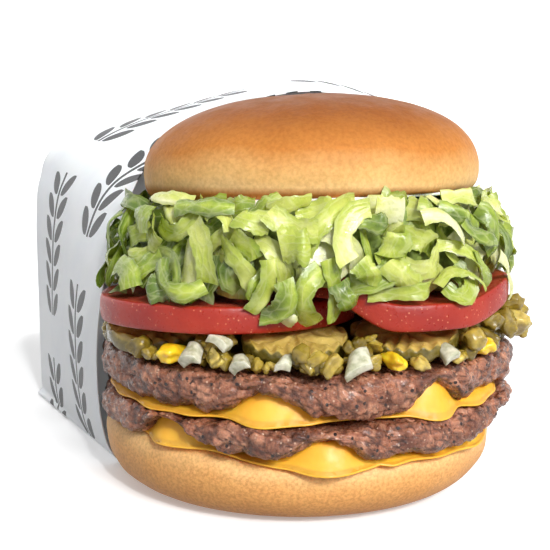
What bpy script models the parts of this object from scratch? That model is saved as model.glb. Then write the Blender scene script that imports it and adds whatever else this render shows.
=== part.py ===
"""A double cheeseburger, half tucked into a folded paper wrapper.

Blender works in metres. Every length below is in millimetres, and MM turns it into metres as a mesh is
made. +Z is up, the middle of the burger is the Z axis, and the open front of the wrapper faces -Y. Angles
named bearing are in degrees, seen from above: 0 is the front, -Y, and 90 is the right, +X.
"""

import math
import random

import bmesh
import bpy
from mathutils import Matrix, Vector, noise
from mathutils.bvhtree import BVHTree

MM = 0.001

# The clear space left between two pieces that touch.
GAP = 0.35
PAPER = 0.5

# Radii and levels of the stack, from the table up.
HEEL_RADIUS = 56.2
HEEL_X = -2.2
HEEL_BASE = PAPER + GAP
HEEL_TOP = 16.6
HEEL_LOWER_ROUND = 12.0
HEEL_UPPER_ROUND = 3.6
PATTY_RADIUS = 60.4
CHEESE_THICK = 1.7
CHEESE_RADIUS = 54.3
LOWER_PATTY_BASE = HEEL_TOP + CHEESE_THICK + 2 * GAP
LOWER_PATTY_TOP = 27.7
UPPER_PATTY_BASE = LOWER_PATTY_TOP + CHEESE_THICK + 2 * GAP
UPPER_PATTY_TOP = 40.3
RELISH_TOP = 47.9
TOMATO_THICK = 6.7
TOMATO_BASE = 48.8
LETTUCE_BASE = TOMATO_BASE + TOMATO_THICK
LETTUCE_TOP = 79.0
CROWN_BASE = 80.9
CROWN_WIDEST = 87.0
CROWN_TOP = 109.2
CROWN_RADIUS = 48.7
CROWN_POWER = 2.15
CROWN_CENTRE = (1.9, 3.0)
CROWN_TILT = 1.8

# Where the rim of each patty arches up over melted cheese: (bearing, half width in degrees, rise).
LOWER_ARCHES = ((-37.5, 6.5, 6.6), (4.0, 6.5, 4.4))
UPPER_ARCHES = ((-10.5, 7.0, 5.6), (33.0, 6.0, 6.6), (-50.0, 22.0, 1.0), (56.0, 12.0, 1.8))
LOWER_RIM = 18.3
UPPER_RIM = 28.9

SEGMENTS = 44
TURN_SEGMENTS = 40
DOME_STEPS = 8
SHARP_ANGLE = 50.0


def smooth(start, end, value):
    """0 up to start, 1 from end on, with an S-curve between."""
    share = min(1.0, max(0.0, (value - start) / (end - start)))
    return share * share * (3.0 - 2.0 * share)


def bell(bearing, centre, width):
    """1 at the centre, falling away on both sides; the difference of the bearings is wrapped."""
    off = (bearing - centre + 180.0) % 360.0 - 180.0
    return math.exp(-((off / width) ** 2))


def polar(radius, bearing):
    angle = math.radians(bearing)
    return radius * math.sin(angle), -radius * math.cos(angle)


def bearing_of(x, y):
    return math.degrees(math.atan2(x, -y))


def lumps(x, y, z, size, seed=0.0):
    """Smooth relief from -1 to 1, with lumps about as wide as size."""
    return noise.noise(Vector((x, y, z)) / size + Vector((seed, 0.0, 0.0)))


def material(name, colour, roughness):
    made = bpy.data.materials.new(name)
    made.use_nodes = True
    shader = made.node_tree.nodes["Principled BSDF"]
    shader.inputs["Base Color"].default_value = (*colour, 1.0)
    shader.inputs["Roughness"].default_value = roughness
    return made


def add_object(name, mesh, finish, collection):
    obj = bpy.data.objects.new(name, mesh)
    mesh.materials.append(finish)
    mesh.shade_smooth()
    mesh.set_sharp_from_angle(angle=math.radians(SHARP_ANGLE))
    collection.objects.link(obj)
    return obj


def from_bmesh(name, bm, finish, collection):
    mesh = bpy.data.meshes.new(name)
    bm.to_mesh(mesh)
    bm.free()
    return add_object(name, mesh, finish, collection)


# Buns


def arc(centre_r, centre_z, radius, start, end, steps):
    """Points of a profile's round corner, as (radius from the axis, height)."""
    found = []
    for step in range(steps + 1):
        angle = math.radians(start + (end - start) * step / steps)
        found.append((centre_r + radius * math.cos(angle), centre_z + radius * math.sin(angle)))
    return found


def turned(name, profile, finish, collection):
    """A profile of (radius, height) points, from the top of the axis down its outer side, spun round Z."""
    bm = bmesh.new()
    points = [bm.verts.new(Vector((radius, 0.0, height)) * MM) for radius, height in profile]
    for first, second in zip(points, points[1:]):
        bm.edges.new((first, second))
    obj = from_bmesh(name, bm, finish, collection)
    spin = obj.modifiers.new("Turn", "SCREW")
    spin.steps = TURN_SEGMENTS
    spin.render_steps = TURN_SEGMENTS
    spin.use_merge_vertices = True
    spin.merge_threshold = 0.05 * MM
    spin.use_smooth_shade = True
    return obj


def heel(finish, collection):
    """The lower half of the bun: a cut top with a small round edge, a wide soft round below."""
    upper = arc(HEEL_RADIUS - HEEL_UPPER_ROUND, HEEL_TOP - HEEL_UPPER_ROUND, HEEL_UPPER_ROUND, 90.0, 0.0, 2)
    lower_z = HEEL_BASE + HEEL_LOWER_ROUND
    lower = arc(HEEL_RADIUS - HEEL_LOWER_ROUND, lower_z, HEEL_LOWER_ROUND, 0.0, -90.0, 4)
    profile = [(0.0, HEEL_TOP), *upper, *lower, (0.0, HEEL_BASE)]
    obj = turned("bun_heel", profile, finish, collection)
    obj.location.x = HEEL_X * MM
    return obj


def crown(finish, collection):
    """The domed upper half of the bun, tipped a little to the left."""
    rise = CROWN_TOP - CROWN_WIDEST
    profile = [(0.0, rise)]
    for step in range(1, DOME_STEPS + 1):
        angle = math.radians(90.0 * step / DOME_STEPS)
        radius = CROWN_RADIUS * math.sin(angle) ** (2.0 / CROWN_POWER)
        height = rise * max(0.0, math.cos(angle)) ** (2.0 / CROWN_POWER)
        profile.append((radius, height))
    drop = CROWN_BASE - CROWN_WIDEST
    profile += [(CROWN_RADIUS - 0.3, 0.55 * drop), (CROWN_RADIUS - 1.6, drop), (0.0, drop)]
    obj = turned("bun_crown", profile, finish, collection)
    obj.location = Vector((*CROWN_CENTRE, CROWN_WIDEST)) * MM
    obj.rotation_euler = (0.0, -math.radians(CROWN_TILT), 0.0)
    return obj


def crown_base(x):
    """Height of the crown's tipped underside."""
    return CROWN_BASE + (x - CROWN_CENTRE[0]) * math.tan(math.radians(CROWN_TILT))


# Patties and cheese: flat layers, with an outline, an underside and an upper side


def layer(name, finish, collection, outline, low, high, under_rings, rim, upper_rings, segments=SEGMENTS):
    """A sphere whose rings are spread from the middle of the underside, round the rim, to the middle of
    the top. outline gives the radius for a bearing, low and high the heights for a radius and a bearing.
    rim lists (inset from the outline, share of the thickness), going up."""
    places = [(0.0, None, 0.0)]
    places += [(radius, None, 0.0) for radius in under_rings]
    places += [(None, inset, share) for inset, share in rim]
    places += [(radius, None, 1.0) for radius in upper_rings]
    places += [(0.0, None, 1.0)]
    rings = len(places) - 1
    bm = bmesh.new()
    bmesh.ops.create_uvsphere(bm, u_segments=segments, v_segments=rings, radius=1.0)
    for vertex in bm.verts:
        step = round((math.asin(max(-1.0, min(1.0, vertex.co.z))) / math.pi + 0.5) * rings)
        bearing = bearing_of(vertex.co.x, vertex.co.y)
        fixed, inset, share = places[step]
        radius = outline(bearing, share) - inset if fixed is None else fixed
        bottom, top = low(radius, bearing), high(radius, bearing)
        vertex.co = Vector((*polar(radius, bearing), bottom + (top - bottom) * share)) * MM
    return from_bmesh(name, bm, finish, collection)


def arch_rise(bearing, arches):
    return sum(rise * bell(bearing, centre, width) for centre, width, rise in arches)


def lower_rim(bearing):
    """Height of the lower patty's bottom edge."""
    return LOWER_RIM + arch_rise(bearing, LOWER_ARCHES) + 4.4 * smooth(42.0, 70.0, bearing)


def upper_rim(bearing):
    """Height of the upper patty's bottom edge."""
    return UPPER_RIM + arch_rise(bearing, UPPER_ARCHES)


def lower_cheese_outline(bearing, _share=0.0):
    """The slice shows under both arches and along the right of the front."""
    right = smooth(14.0, 22.0, bearing) * (1.0 - smooth(56.0, 68.0, bearing))
    return CHEESE_RADIUS + 4.2 * max(bell(bearing, -38.0, 9.0), bell(bearing, 4.0, 13.0), 0.55 * right)


def upper_cheese_outline(bearing, _share=0.0):
    """The slice shows furthest under the highest arches."""
    shown = (bell(bearing, centre, 1.4 * width) * (1.6 + 0.7 * rise) for centre, width, rise in UPPER_ARCHES)
    return CHEESE_RADIUS + max(shown)


def cheese_apron(radius, outline, rise):
    """How far the melted slice stands up under an arch: it climbs to it, then falls to the slice's edge."""
    return rise * smooth(45.0, 53.0, radius) * (1.0 - smooth(outline - 4.6, outline, radius))


def lower_cheese_low(_radius, _bearing):
    return HEEL_TOP + GAP


def lower_cheese_high(radius, bearing):
    rise = 0.9 * arch_rise(bearing, LOWER_ARCHES)
    apron = cheese_apron(radius, lower_cheese_outline(bearing), rise)
    return lower_cheese_low(radius, bearing) + CHEESE_THICK + apron


def upper_cheese_low(_radius, _bearing):
    return LOWER_PATTY_TOP + GAP


def upper_cheese_high(radius, bearing):
    rise = 0.84 * arch_rise(bearing, UPPER_ARCHES)
    return LOWER_PATTY_TOP + GAP + CHEESE_THICK + cheese_apron(radius, upper_cheese_outline(bearing), rise)


def patty_outline(bearing, share, arches, seed):
    """Uneven and lobed, drawn in where the rim arches up and pressed in by the wrapper on the left."""
    x, y = polar(PATTY_RADIUS, bearing)
    drawn_in = sum(1.3 * bell(bearing, centre, width) for centre, width, _rise in arches)
    coarse = 1.0 * lumps(x, y, 7.0 * share, 17.0, seed)
    fine = 0.7 * lumps(x, y, 9.0 * share, 6.0, seed + 5.0)
    pressed = 1.8 * bell(bearing, -98.0, 32.0)
    return PATTY_RADIUS - pressed - drawn_in * (1.0 - share) + coarse + fine


def lower_patty_outline(bearing, share):
    return patty_outline(bearing, share, LOWER_ARCHES, 3.0)


def upper_patty_outline(bearing, share):
    return patty_outline(bearing, share, UPPER_ARCHES, 11.0)


# How far round a point the layer below is felt for, outwards and in degrees.
NEAR_STEP = 2.2
NEAR_TURN = 4.5


def clearance(surface, outline, radius, bearing):
    """The highest point of a layer below near here, with the gap added, or nothing past its edge."""
    found = -math.inf
    for step in (-NEAR_STEP, 0.0, NEAR_STEP):
        for turn in (-NEAR_TURN, 0.0, NEAR_TURN):
            near = radius + step
            if near < outline(bearing + turn) + 1.0:
                found = max(found, surface(near, bearing + turn) + GAP)
    return found


def lower_patty_low(radius, bearing):
    """On the cheese in the middle, and down past the edge of the slice at the lobes of the rim."""
    edge = smooth(48.0, 56.0, radius)
    free = LOWER_PATTY_BASE + (lower_rim(bearing) - LOWER_PATTY_BASE) * edge
    return max(free, clearance(lower_cheese_high, lower_cheese_outline, radius, bearing))


def upper_patty_low(radius, bearing):
    edge = smooth(48.0, 56.0, radius)
    free = UPPER_PATTY_BASE + (upper_rim(bearing) - UPPER_PATTY_BASE) * edge
    held = clearance(upper_cheese_high, upper_cheese_outline, radius, bearing)
    return max(free, held, LOWER_PATTY_TOP + GAP)


def lower_patty_high(_radius, _bearing):
    return LOWER_PATTY_TOP


def upper_patty_high(_radius, _bearing):
    return UPPER_PATTY_TOP


UNDER_RINGS = (28.0, 45.0, 50.0, 53.5)
PATTY_RIM = ((3.0, 0.0), (0.9, 0.1), (0.0, 0.4), (0.2, 0.7), (1.3, 0.93), (3.6, 1.0))
CHEESE_RIM = ((0.6, 0.0), (0.0, 0.5), (0.6, 1.0))


def patties_and_cheese(meat, cheese, collection):
    falling = tuple(reversed(UNDER_RINGS))
    layer(
        "cheese_lower", cheese, collection, lower_cheese_outline, lower_cheese_low, lower_cheese_high,
        UNDER_RINGS[1:], CHEESE_RIM, falling,
    )
    layer(
        "patty_lower", meat, collection, lower_patty_outline, lower_patty_low, lower_patty_high,
        UNDER_RINGS, PATTY_RIM, (40.0,),
    )
    layer(
        "cheese_upper", cheese, collection, upper_cheese_outline, upper_cheese_low, upper_cheese_high,
        (40.0,), CHEESE_RIM, falling,
    )
    layer(
        "patty_upper", meat, collection, upper_patty_outline, upper_patty_low, upper_patty_high,
        UNDER_RINGS, PATTY_RIM, (40.0,),
    )


# Tomato slices: discs that bend over what they lie on

TOMATO_LEFT = (-21.0, -17.5, 34.8)
TOMATO_RIGHT = (21.5, -19.5, 32.6)


def left_tomato_base(x, _y):
    off = x - TOMATO_LEFT[0]
    return TOMATO_BASE - 0.0006 * off * off


def right_tomato_base(x, y):
    """It rides up over the end of the left slice, and its own right end is held up by relish."""
    centre_x, centre_y, radius = TOMATO_LEFT
    past = math.hypot(x - centre_x, y - centre_y) - radius
    over = (TOMATO_THICK + 0.6) * (1.0 - smooth(3.5, 14.0, past))
    return TOMATO_BASE + 0.5 + over + 4.4 * smooth(38.0, 56.0, x)


def tomato(name, place, base, finish, collection):
    centre_x, centre_y, radius = place
    rim = ((0.6, 0.0), (0.95, 0.0), (1.0, 0.3), (1.0, 0.7), (0.95, 1.0), (0.6, 1.0))
    rings = len(rim) + 1
    bm = bmesh.new()
    bmesh.ops.create_uvsphere(bm, u_segments=28, v_segments=rings, radius=1.0)
    for vertex in bm.verts:
        step = round((math.asin(max(-1.0, min(1.0, vertex.co.z))) / math.pi + 0.5) * rings)
        bearing = bearing_of(vertex.co.x, vertex.co.y)
        reach, share = ((0.0, 0.0), *rim, (0.0, 1.0))[step]
        lobed = radius * (1.0 + 0.012 * math.cos(math.radians(5.0 * bearing)))
        x, y = polar(lobed * reach, bearing)
        x, y = x + centre_x, y + centre_y
        vertex.co = Vector((x, y, base(x, y) + TOMATO_THICK * share)) * MM
    return from_bmesh(name, bm, finish, collection)


# Crinkle-cut pickles, diced onion and dabs of mustard

# (x, y, radius, tilt towards the front, tilt to the right, turn of the ridges), tilts in degrees.
PICKLES = {
    "pickle_left": (-38.5, -23.5, 15.5, 2.0, -2.0, 55.0),
    "pickle_middle": (-3.3, -42.2, 13.4, 3.0, 0.0, 4.0),
    "pickle_right": (24.0, -33.6, 13.6, 3.0, -1.0, -18.0),
}
PICKLE_THICK = 3.0
PICKLE_MIDDLE = 45.2
RIDGE_PITCH = 4.4
RIDGE_DEPTH = 0.55


def pickle(name, place, finish, collection):
    """A disc with waves on both faces, so that its edge is scalloped."""
    centre_x, centre_y, radius, forward, sideways, turn = place
    rim = ((0.5, 0.0), (0.95, 0.0), (1.0, 0.5), (0.95, 1.0), (0.5, 1.0))
    rings = len(rim) + 1
    bm = bmesh.new()
    bmesh.ops.create_uvsphere(bm, u_segments=26, v_segments=rings, radius=1.0)
    for vertex in bm.verts:
        step = round((math.asin(max(-1.0, min(1.0, vertex.co.z))) / math.pi + 0.5) * rings)
        reach, share = ((0.0, 0.0), *rim, (0.0, 1.0))[step]
        x, y = polar(radius * reach, bearing_of(vertex.co.x, vertex.co.y))
        wave = RIDGE_DEPTH * math.sin(2.0 * math.pi * x / RIDGE_PITCH)
        vertex.co = Vector((x, y, PICKLE_THICK * (share - 0.5) + wave)) * MM
    obj = from_bmesh(name, bm, finish, collection)
    obj.location = Vector((centre_x, centre_y, PICKLE_MIDDLE)) * MM
    obj.rotation_euler = (math.radians(forward), math.radians(sideways), math.radians(turn))
    return obj


# (bearing, radius to the middle, height over the patty, length, width, thickness, lean in degrees)
ONIONS = {
    "onion_1": (-29.0, 58.6, 3.5, 6.4, 6.0, 3.0, 34.0),
    "onion_2": (-22.0, 56.8, 6.6, 5.4, 3.4, 2.4, 10.0),
    "onion_3": (-16.5, 58.8, 2.5, 6.2, 5.0, 2.6, 30.0),
    "onion_4": (-6.0, 58.4, 2.9, 4.0, 4.2, 2.2, 25.0),
    "onion_5": (11.0, 58.8, 3.0, 7.4, 5.6, 2.8, 32.0),
    "onion_6": (35.5, 58.6, 3.1, 4.8, 4.6, 2.4, 28.0),
}


def onion(name, place, finish, collection):
    """A curved, slightly wedge-shaped dice of one onion layer."""
    bearing, radius, over, length, width, thickness, lean = place
    height = UPPER_PATTY_TOP + over
    bm = bmesh.new()
    bmesh.ops.create_cube(bm, size=1.0)
    bmesh.ops.subdivide_edges(bm, edges=bm.edges[:], cuts=1, use_grid_fill=True)
    for vertex in bm.verts:
        x, y, z = vertex.co
        taper = 1.0 - 0.22 * y
        bow = thickness * (0.35 - 1.6 * x * x)
        vertex.co = Vector((x * length * taper, y * width, z * thickness * taper + bow)) * MM
    obj = from_bmesh(name, bm, finish, collection)
    obj.location = Vector((*polar(radius, bearing), height)) * MM
    obj.rotation_euler = (math.radians(lean), 0.0, math.radians(bearing + 14.0 * math.sin(9.0 * over)))
    return obj


# (bearing, radius to the middle, half width, half depth, half height)
MUSTARDS = {
    "mustard_left": (-37.0, 56.4, 3.2, 3.6, 2.3),
    "mustard_middle": (21.0, 56.4, 2.5, 4.0, 2.1),
    "mustard_right": (51.5, 57.6, 2.8, 3.2, 2.2),
}


def mustard(name, place, finish, collection):
    bearing, radius, half_width, half_depth, half_height = place
    height = UPPER_PATTY_TOP + GAP + 0.86 * half_height
    bm = bmesh.new()
    bmesh.ops.create_uvsphere(bm, u_segments=8, v_segments=6, radius=1.0)
    for vertex in bm.verts:
        x, y, z = vertex.co
        z = max(z, -0.86)
        vertex.co = Vector((x * half_width, y * half_depth, z * half_height)) * MM
    obj = from_bmesh(name, bm, finish, collection)
    obj.location = Vector((*polar(radius, bearing), height)) * MM
    obj.rotation_euler = (0.0, 0.0, math.radians(bearing))
    return obj


# Heaps: a core with the pieces that show fused on


def new_collection(name):
    made = bpy.data.collections.new(name)
    bpy.context.scene.collection.children.link(made)
    return made


def world_trees(objects):
    """Search trees of the objects as they stand, for finding what a new piece would touch."""
    bpy.context.view_layer.update()
    graph = bpy.context.evaluated_depsgraph_get()
    trees = []
    for obj in objects:
        bm = bmesh.new()
        bm.from_object(obj, graph)
        bm.transform(obj.matrix_world)
        trees.append(BVHTree.FromBMesh(bm))
        bm.free()
    return trees


def keep_if_clear(name, bm, trees, finish, pieces):
    """Adds the piece unless it would touch a neighbour, and says whether it did."""
    own = BVHTree.FromBMesh(bm)
    near = 0.5 * GAP * MM
    for tree in trees:
        if own.overlap(tree) or any(tree.find_nearest(vertex.co)[3] < near for vertex in bm.verts):
            bm.free()
            return False
    from_bmesh(name, bm, finish, pieces)
    return True


def fuse(core, pieces):
    """Joins the pieces to the core in one solid, without the loose scraps and sealed hollows this leaves."""
    join = core.modifiers.new("Join", "BOOLEAN")
    join.operation = "UNION"
    join.solver = "MANIFOLD"
    join.operand_type = "COLLECTION"
    join.collection = pieces
    graph = bpy.context.evaluated_depsgraph_get()
    joined = bpy.data.meshes.new_from_object(core.evaluated_get(graph))
    core.modifiers.clear()
    core.data = joined
    for piece in list(pieces.objects):
        bpy.data.objects.remove(piece)
    bpy.data.collections.remove(pieces)
    bm = bmesh.new()
    bm.from_mesh(joined)
    islands = islands_of(bm)
    islands.sort(key=len)
    scraps = [face for island in islands[:-1] for face in island]
    bmesh.ops.delete(bm, geom=scraps, context="FACES")
    bmesh.ops.triangulate(bm, faces=bm.faces[:])
    bm.to_mesh(joined)
    bm.free()
    joined.set_sharp_from_angle(angle=math.radians(SHARP_ANGLE))
    return core


def islands_of(bm):
    """The mesh's faces, as lists of those that hang together."""
    left = set(bm.faces)
    found = []
    while left:
        start = left.pop()
        island, front = [start], [start]
        while front:
            face = front.pop()
            for edge in face.edges:
                for other in edge.link_faces:
                    if other in left:
                        left.remove(other)
                        island.append(other)
                        front.append(other)
        found.append(island)
    return found


# Pieces of relish that hang over the patty's edge: (bearing, radius, height over the patty, size)
RELISH_HANGING = (
    (-70.0, 56.0, 3.0, 3.2), (-62.0, 57.0, 3.2, 3.4), (-55.0, 58.0, 3.0, 3.2), (-45.0, 58.6, 3.0, 3.0),
    (-49.0, 57.2, 5.6, 2.8), (-24.0, 59.0, 2.6, 2.6), (-11.5, 58.2, 3.4, 3.0), (-2.0, 57.2, 5.0, 2.6),
    (1.0, 59.0, 3.6, 3.4), (4.6, 59.8, 2.4, 3.0), (16.0, 58.4, 3.4, 2.8), (25.5, 59.0, 3.6, 3.4),
    (30.4, 59.0, 2.8, 2.7), (41.0, 58.4, 3.6, 3.4), (45.5, 58.0, 5.6, 3.0), (57.5, 57.6, 3.6, 3.2),
    (60.5, 57.6, 7.6, 3.4), (58.0, 55.6, 11.4, 3.0), (66.0, 60.0, 6.6, 3.6), (71.0, 61.8, 5.6, 3.6),
    (76.0, 62.2, 8.0, 3.0), (80.0, 60.6, 5.0, 3.6), (72.0, 60.4, 10.4, 3.0), (75.0, 63.0, 4.2, 2.8),
    (88.0, 59.4, 4.0, 3.4), (98.0, 57.6, 3.4, 3.2), (84.0, 57.6, 8.4, 3.2),
)


def relish_outline(bearing, share):
    x, y = polar(50.0, bearing)
    side = smooth(52.0, 70.0, bearing) * (1.0 - smooth(96.0, 120.0, bearing))
    return 53.0 + 4.0 * side + 1.2 * lumps(x, y, 5.0 * share, 9.0, 21.0)


def relish_high(radius, bearing):
    """The heap carries the tomato, falls to a thin edge, and is pressed down where a pickle lies."""
    x, y = polar(radius, bearing)
    height = RELISH_TOP - 3.8 * smooth(44.0, 52.0, radius)
    for centre_x, centre_y, reach, *_ in PICKLES.values():
        away = math.hypot(x - centre_x, y - centre_y)
        pressed = 1.0 - smooth(reach + 4.5, reach + 9.0, away)
        height = min(height, height + (PICKLE_MIDDLE - PICKLE_THICK - 0.9 - height) * pressed)
    return height


def relish(finish, collection, neighbours):
    core = layer(
        "relish", finish, collection, relish_outline, lambda _r, _b: UPPER_PATTY_TOP + GAP, relish_high,
        (), ((1.5, 0.0), (0.0, 0.5), (1.5, 1.0)), (48.0, 44.0, 36.0, 26.0, 14.0),
    )
    chosen = random.Random(5)
    pieces = new_collection("relish pieces")
    for index, (bearing, radius, over, size) in enumerate(RELISH_HANGING):
        stretch = Vector((chosen.uniform(0.85, 1.15), chosen.uniform(1.1, 1.6), chosen.uniform(0.8, 1.05)))
        turn = Matrix.Rotation(math.radians(bearing), 3, "Z")
        turn @= Matrix.Rotation(chosen.uniform(-0.4, 0.4), 3, "X")
        height = UPPER_PATTY_TOP + max(over, GAP + 1.05 * size)
        place = Vector((*polar(radius - 1.2, bearing), height))
        bm = bmesh.new()
        bmesh.ops.create_icosphere(bm, subdivisions=1, radius=1.0)
        for vertex in bm.verts:
            vertex.co = (place + turn @ (vertex.co * size * stretch)) * MM
        keep_if_clear(f"relish piece {index}", bm, neighbours, finish, pieces)
    return fuse(core, pieces)


# Lettuce

SHREDS = 58
SHRED_TRIES = 5
SHRED_THICK = 0.8
LETTUCE_SEGMENTS = 36
LETTUCE_RINGS = (8.0, 17.0, 28.0, 38.0, 46.0)
LETTUCE_RIM = ((2.0, 0.0), (0.0, 0.3), (0.0, 0.7), (2.0, 1.0))


def lettuce_reach(bearing, height):
    """Radius of the bulging face of the heap. The wrapper holds it in at the left and behind."""
    share = (height - LETTUCE_BASE) / (LETTUCE_TOP - LETTUCE_BASE)
    bulge = math.sin(math.pi * min(1.0, max(0.0, 0.2 + 0.66 * share)))
    held = min(1.0, smooth(35.0, 80.0, -bearing) + smooth(95.0, 130.0, abs(bearing)) * (bearing > 0.0))
    return 50.0 + 5.6 * bulge - held * (2.2 + 4.0 * smooth(0.3, 1.0, share))


def tomato_top(x, y):
    """The highest tomato surface close to a point, or the level of the relish where there is none."""
    found = RELISH_TOP
    slices = ((TOMATO_LEFT, left_tomato_base), (TOMATO_RIGHT, right_tomato_base))
    for (centre_x, centre_y, radius), base in slices:
        for turn in range(0, 360, 45):
            for step in (0.0, 4.5, 9.0):
                near_x, near_y = x + polar(step, turn)[0], y + polar(step, turn)[1]
                if math.hypot(near_x - centre_x, near_y - centre_y) < radius + 2.0:
                    found = max(found, base(near_x, near_y) + TOMATO_THICK)
    return found


def lettuce_outline(bearing, share):
    """The core stays a little inside the face that the strips follow."""
    return lettuce_reach(bearing, 56.0 + 22.0 * share) - 1.2


def lettuce_low(radius, bearing):
    return tomato_top(*polar(radius, bearing)) + GAP


def lettuce_high(radius, bearing):
    x, _y = polar(radius, bearing)
    return crown_base(x) - 1.9 - 1.6 * smooth(44.0, 54.0, radius)


def shred(chosen, bearing, height, slope):
    """A bent strip that leaves the heap at one end, follows its face and lifts off at the other."""
    length, width = chosen.uniform(12.0, 20.0), chosen.uniform(4.5, 7.6)
    lift, curl = chosen.uniform(1.0, 4.5), chosen.uniform(-50.0, 50.0)
    lean = chosen.uniform(-1.0, 1.0)
    bm = bmesh.new()
    bmesh.ops.create_grid(bm, x_segments=3, y_segments=1, size=0.5)
    for vertex in bm.verts:
        along, side = vertex.co.x + 0.5, 2.0 * vertex.co.y
        heading = math.radians(slope + curl * along)
        step = length * along
        rise = step * math.sin(heading) + 0.5 * side * width * math.cos(heading)
        sweep = step * math.cos(heading) - 0.5 * side * width * math.sin(heading)
        at = height + rise
        out = -2.8 + (2.8 + lift) * smooth(0.0, 0.8, along) - 1.6 * along**3
        ruffle = 0.8 * math.sin(8.0 * along + length) + 1.5 * side * lean
        reach = lettuce_reach(bearing, at) + out + ruffle
        turned_to = bearing + math.degrees(sweep / reach)
        vertex.co = Vector((*polar(reach, turned_to), at)) * MM
    bmesh.ops.triangulate(bm, faces=bm.faces[:])
    bmesh.ops.solidify(bm, geom=bm.faces[:], thickness=SHRED_THICK * MM)
    bmesh.ops.recalc_face_normals(bm, faces=bm.faces[:])
    return bm


def lettuce(finish, collection, neighbours):
    """Shredded leaves: a core, and strips over its face wherever the wrapper leaves it in view."""
    core = layer(
        "lettuce", finish, collection, lettuce_outline, lettuce_low, lettuce_high,
        LETTUCE_RINGS, LETTUCE_RIM, (38.0,), LETTUCE_SEGMENTS,
    )
    chosen = random.Random(12)
    pieces = new_collection("shreds")
    for index in range(SHREDS):
        share = (index * 0.618034) % 1.0
        bearing = -98.0 + 214.0 * (index + 0.5) / SHREDS
        for _try in range(SHRED_TRIES):
            slope = chosen.choice((-80.0, -55.0, -100.0, -125.0, 15.0, 50.0, 165.0, 130.0))
            falling = slope < 0.0
            height = chosen.uniform(66.0, 77.0) if falling else chosen.uniform(57.0, 71.0)
            height += 3.0 * (share - 0.5)
            bm = shred(chosen, bearing, height, slope)
            too_high = max(vertex.co.z for vertex in bm.verts) > (CROWN_BASE + 2.6) * MM
            if too_high:
                bm.free()
            elif keep_if_clear(f"shred {index}", bm, neighbours, finish, pieces):
                break
    return fuse(core, pieces)


# Mayonnaise: a thin spread under the crown, with an uneven edge


def mayonnaise(finish, collection):
    def outline(bearing, _share):
        patches = bell(bearing, -22.0, 14.0) + bell(bearing, 62.0, 16.0) + 0.6 * bell(bearing, 8.0, 8.0)
        return 44.6 + 2.0 * patches

    def high(radius, bearing):
        return crown_base(polar(radius, bearing)[0] + CROWN_CENTRE[0]) - GAP

    def low(radius, bearing):
        return high(radius, bearing) - 0.9

    rim = ((0.5, 0.0), (0.0, 0.5), (0.5, 1.0))
    obj = layer("mayonnaise", finish, collection, outline, low, high, (), rim, ())
    obj.location.x = CROWN_CENTRE[0] * MM
    obj.location.y = 0.5 * CROWN_CENTRE[1] * MM
    return obj


# Wrapper: one sheet folded into a pocket

# Matching points of the open front edge and of the back edge, (x, y, z), from the middle of the bottom
# to the left, up, over the top, down the right side and back along the bottom.
WRAP_FRONT = (
    (0.0, -36.0, 0.0), (-33.0, -27.0, 0.0), (-52.8, -4.0, 0.0), (-57.0, -5.0, 4.0), (-59.7, -6.5, 11.0),
    (-61.0, -8.0, 22.0), (-60.9, -8.0, 36.0), (-59.4, -7.0, 48.0), (-56.6, -4.5, 62.0), (-51.6, 0.0, 77.0),
    (-47.0, 16.0, 89.0), (-35.5, 25.0, 101.0), (2.0, 25.0, 111.0), (36.5, 29.0, 102.0), (49.6, 26.0, 89.0),
    (54.5, 23.0, 78.0), (59.5, 22.0, 62.0), (60.5, 22.0, 36.0), (57.0, 21.0, 12.0), (50.0, 20.0, 0.0),
    (34.0, -10.0, 0.0),
)
WRAP_BACK = (
    (-15.0, 74.0, 0.0), (-60.0, 74.0, 0.0), (-95.5, 74.0, 0.0), (-97.0, 74.0, 4.0), (-97.2, 74.0, 12.0),
    (-97.2, 74.0, 24.0), (-97.2, 74.0, 40.0), (-97.2, 74.0, 54.0), (-97.0, 74.0, 68.0), (-95.4, 74.0, 82.0),
    (-88.0, 74.0, 95.0), (-56.0, 74.0, 105.6), (0.0, 74.0, 117.5), (36.0, 74.0, 108.0), (52.0, 74.0, 97.0),
    (61.0, 74.0, 82.0), (62.5, 74.0, 62.0), (62.5, 74.0, 36.0), (62.0, 74.0, 12.0), (58.0, 74.0, 0.0),
    (30.0, 74.0, 0.0),
)
WRAP_ARCH = 1.8

# The line across the back where the folded flaps meet, and how far they stand off the back edge.
SEAM_Z = 46.0
SEAM_LEFT = -62.0
SEAM_RIGHT = 34.0
SEAM_HALF_GAP = 1.2
BACK_BULGE = 3.5

# How far round and how far back the sheet's grid is cut.
WRAP_COLUMNS = 2 * len(WRAP_FRONT)
WRAP_ROWS = (0.0, 0.3, 0.6, 0.85, 1.0, 1.08, 1.4, 2.0)


def loop_point(points, share):
    """A point of the closed, smooth line through the points, which stays on the table where they do."""
    count = len(points)
    place = share * count
    index = int(place)
    part = place - index
    before, start, end, after = (Vector(points[(index + step) % count]) for step in (-1, 0, 1, 2))
    if start.z == 0.0 and end.z == 0.0:
        return start.lerp(end, part)
    square, cube = part * part, part * part * part
    found = 0.5 * (
        2.0 * start
        + (end - before) * part
        + (2.0 * before - 5.0 * start + 4.0 * end - after) * square
        + (3.0 * start - before - 3.0 * end + after) * cube
    )
    found.z = max(found.z, 0.0)
    return found


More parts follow.
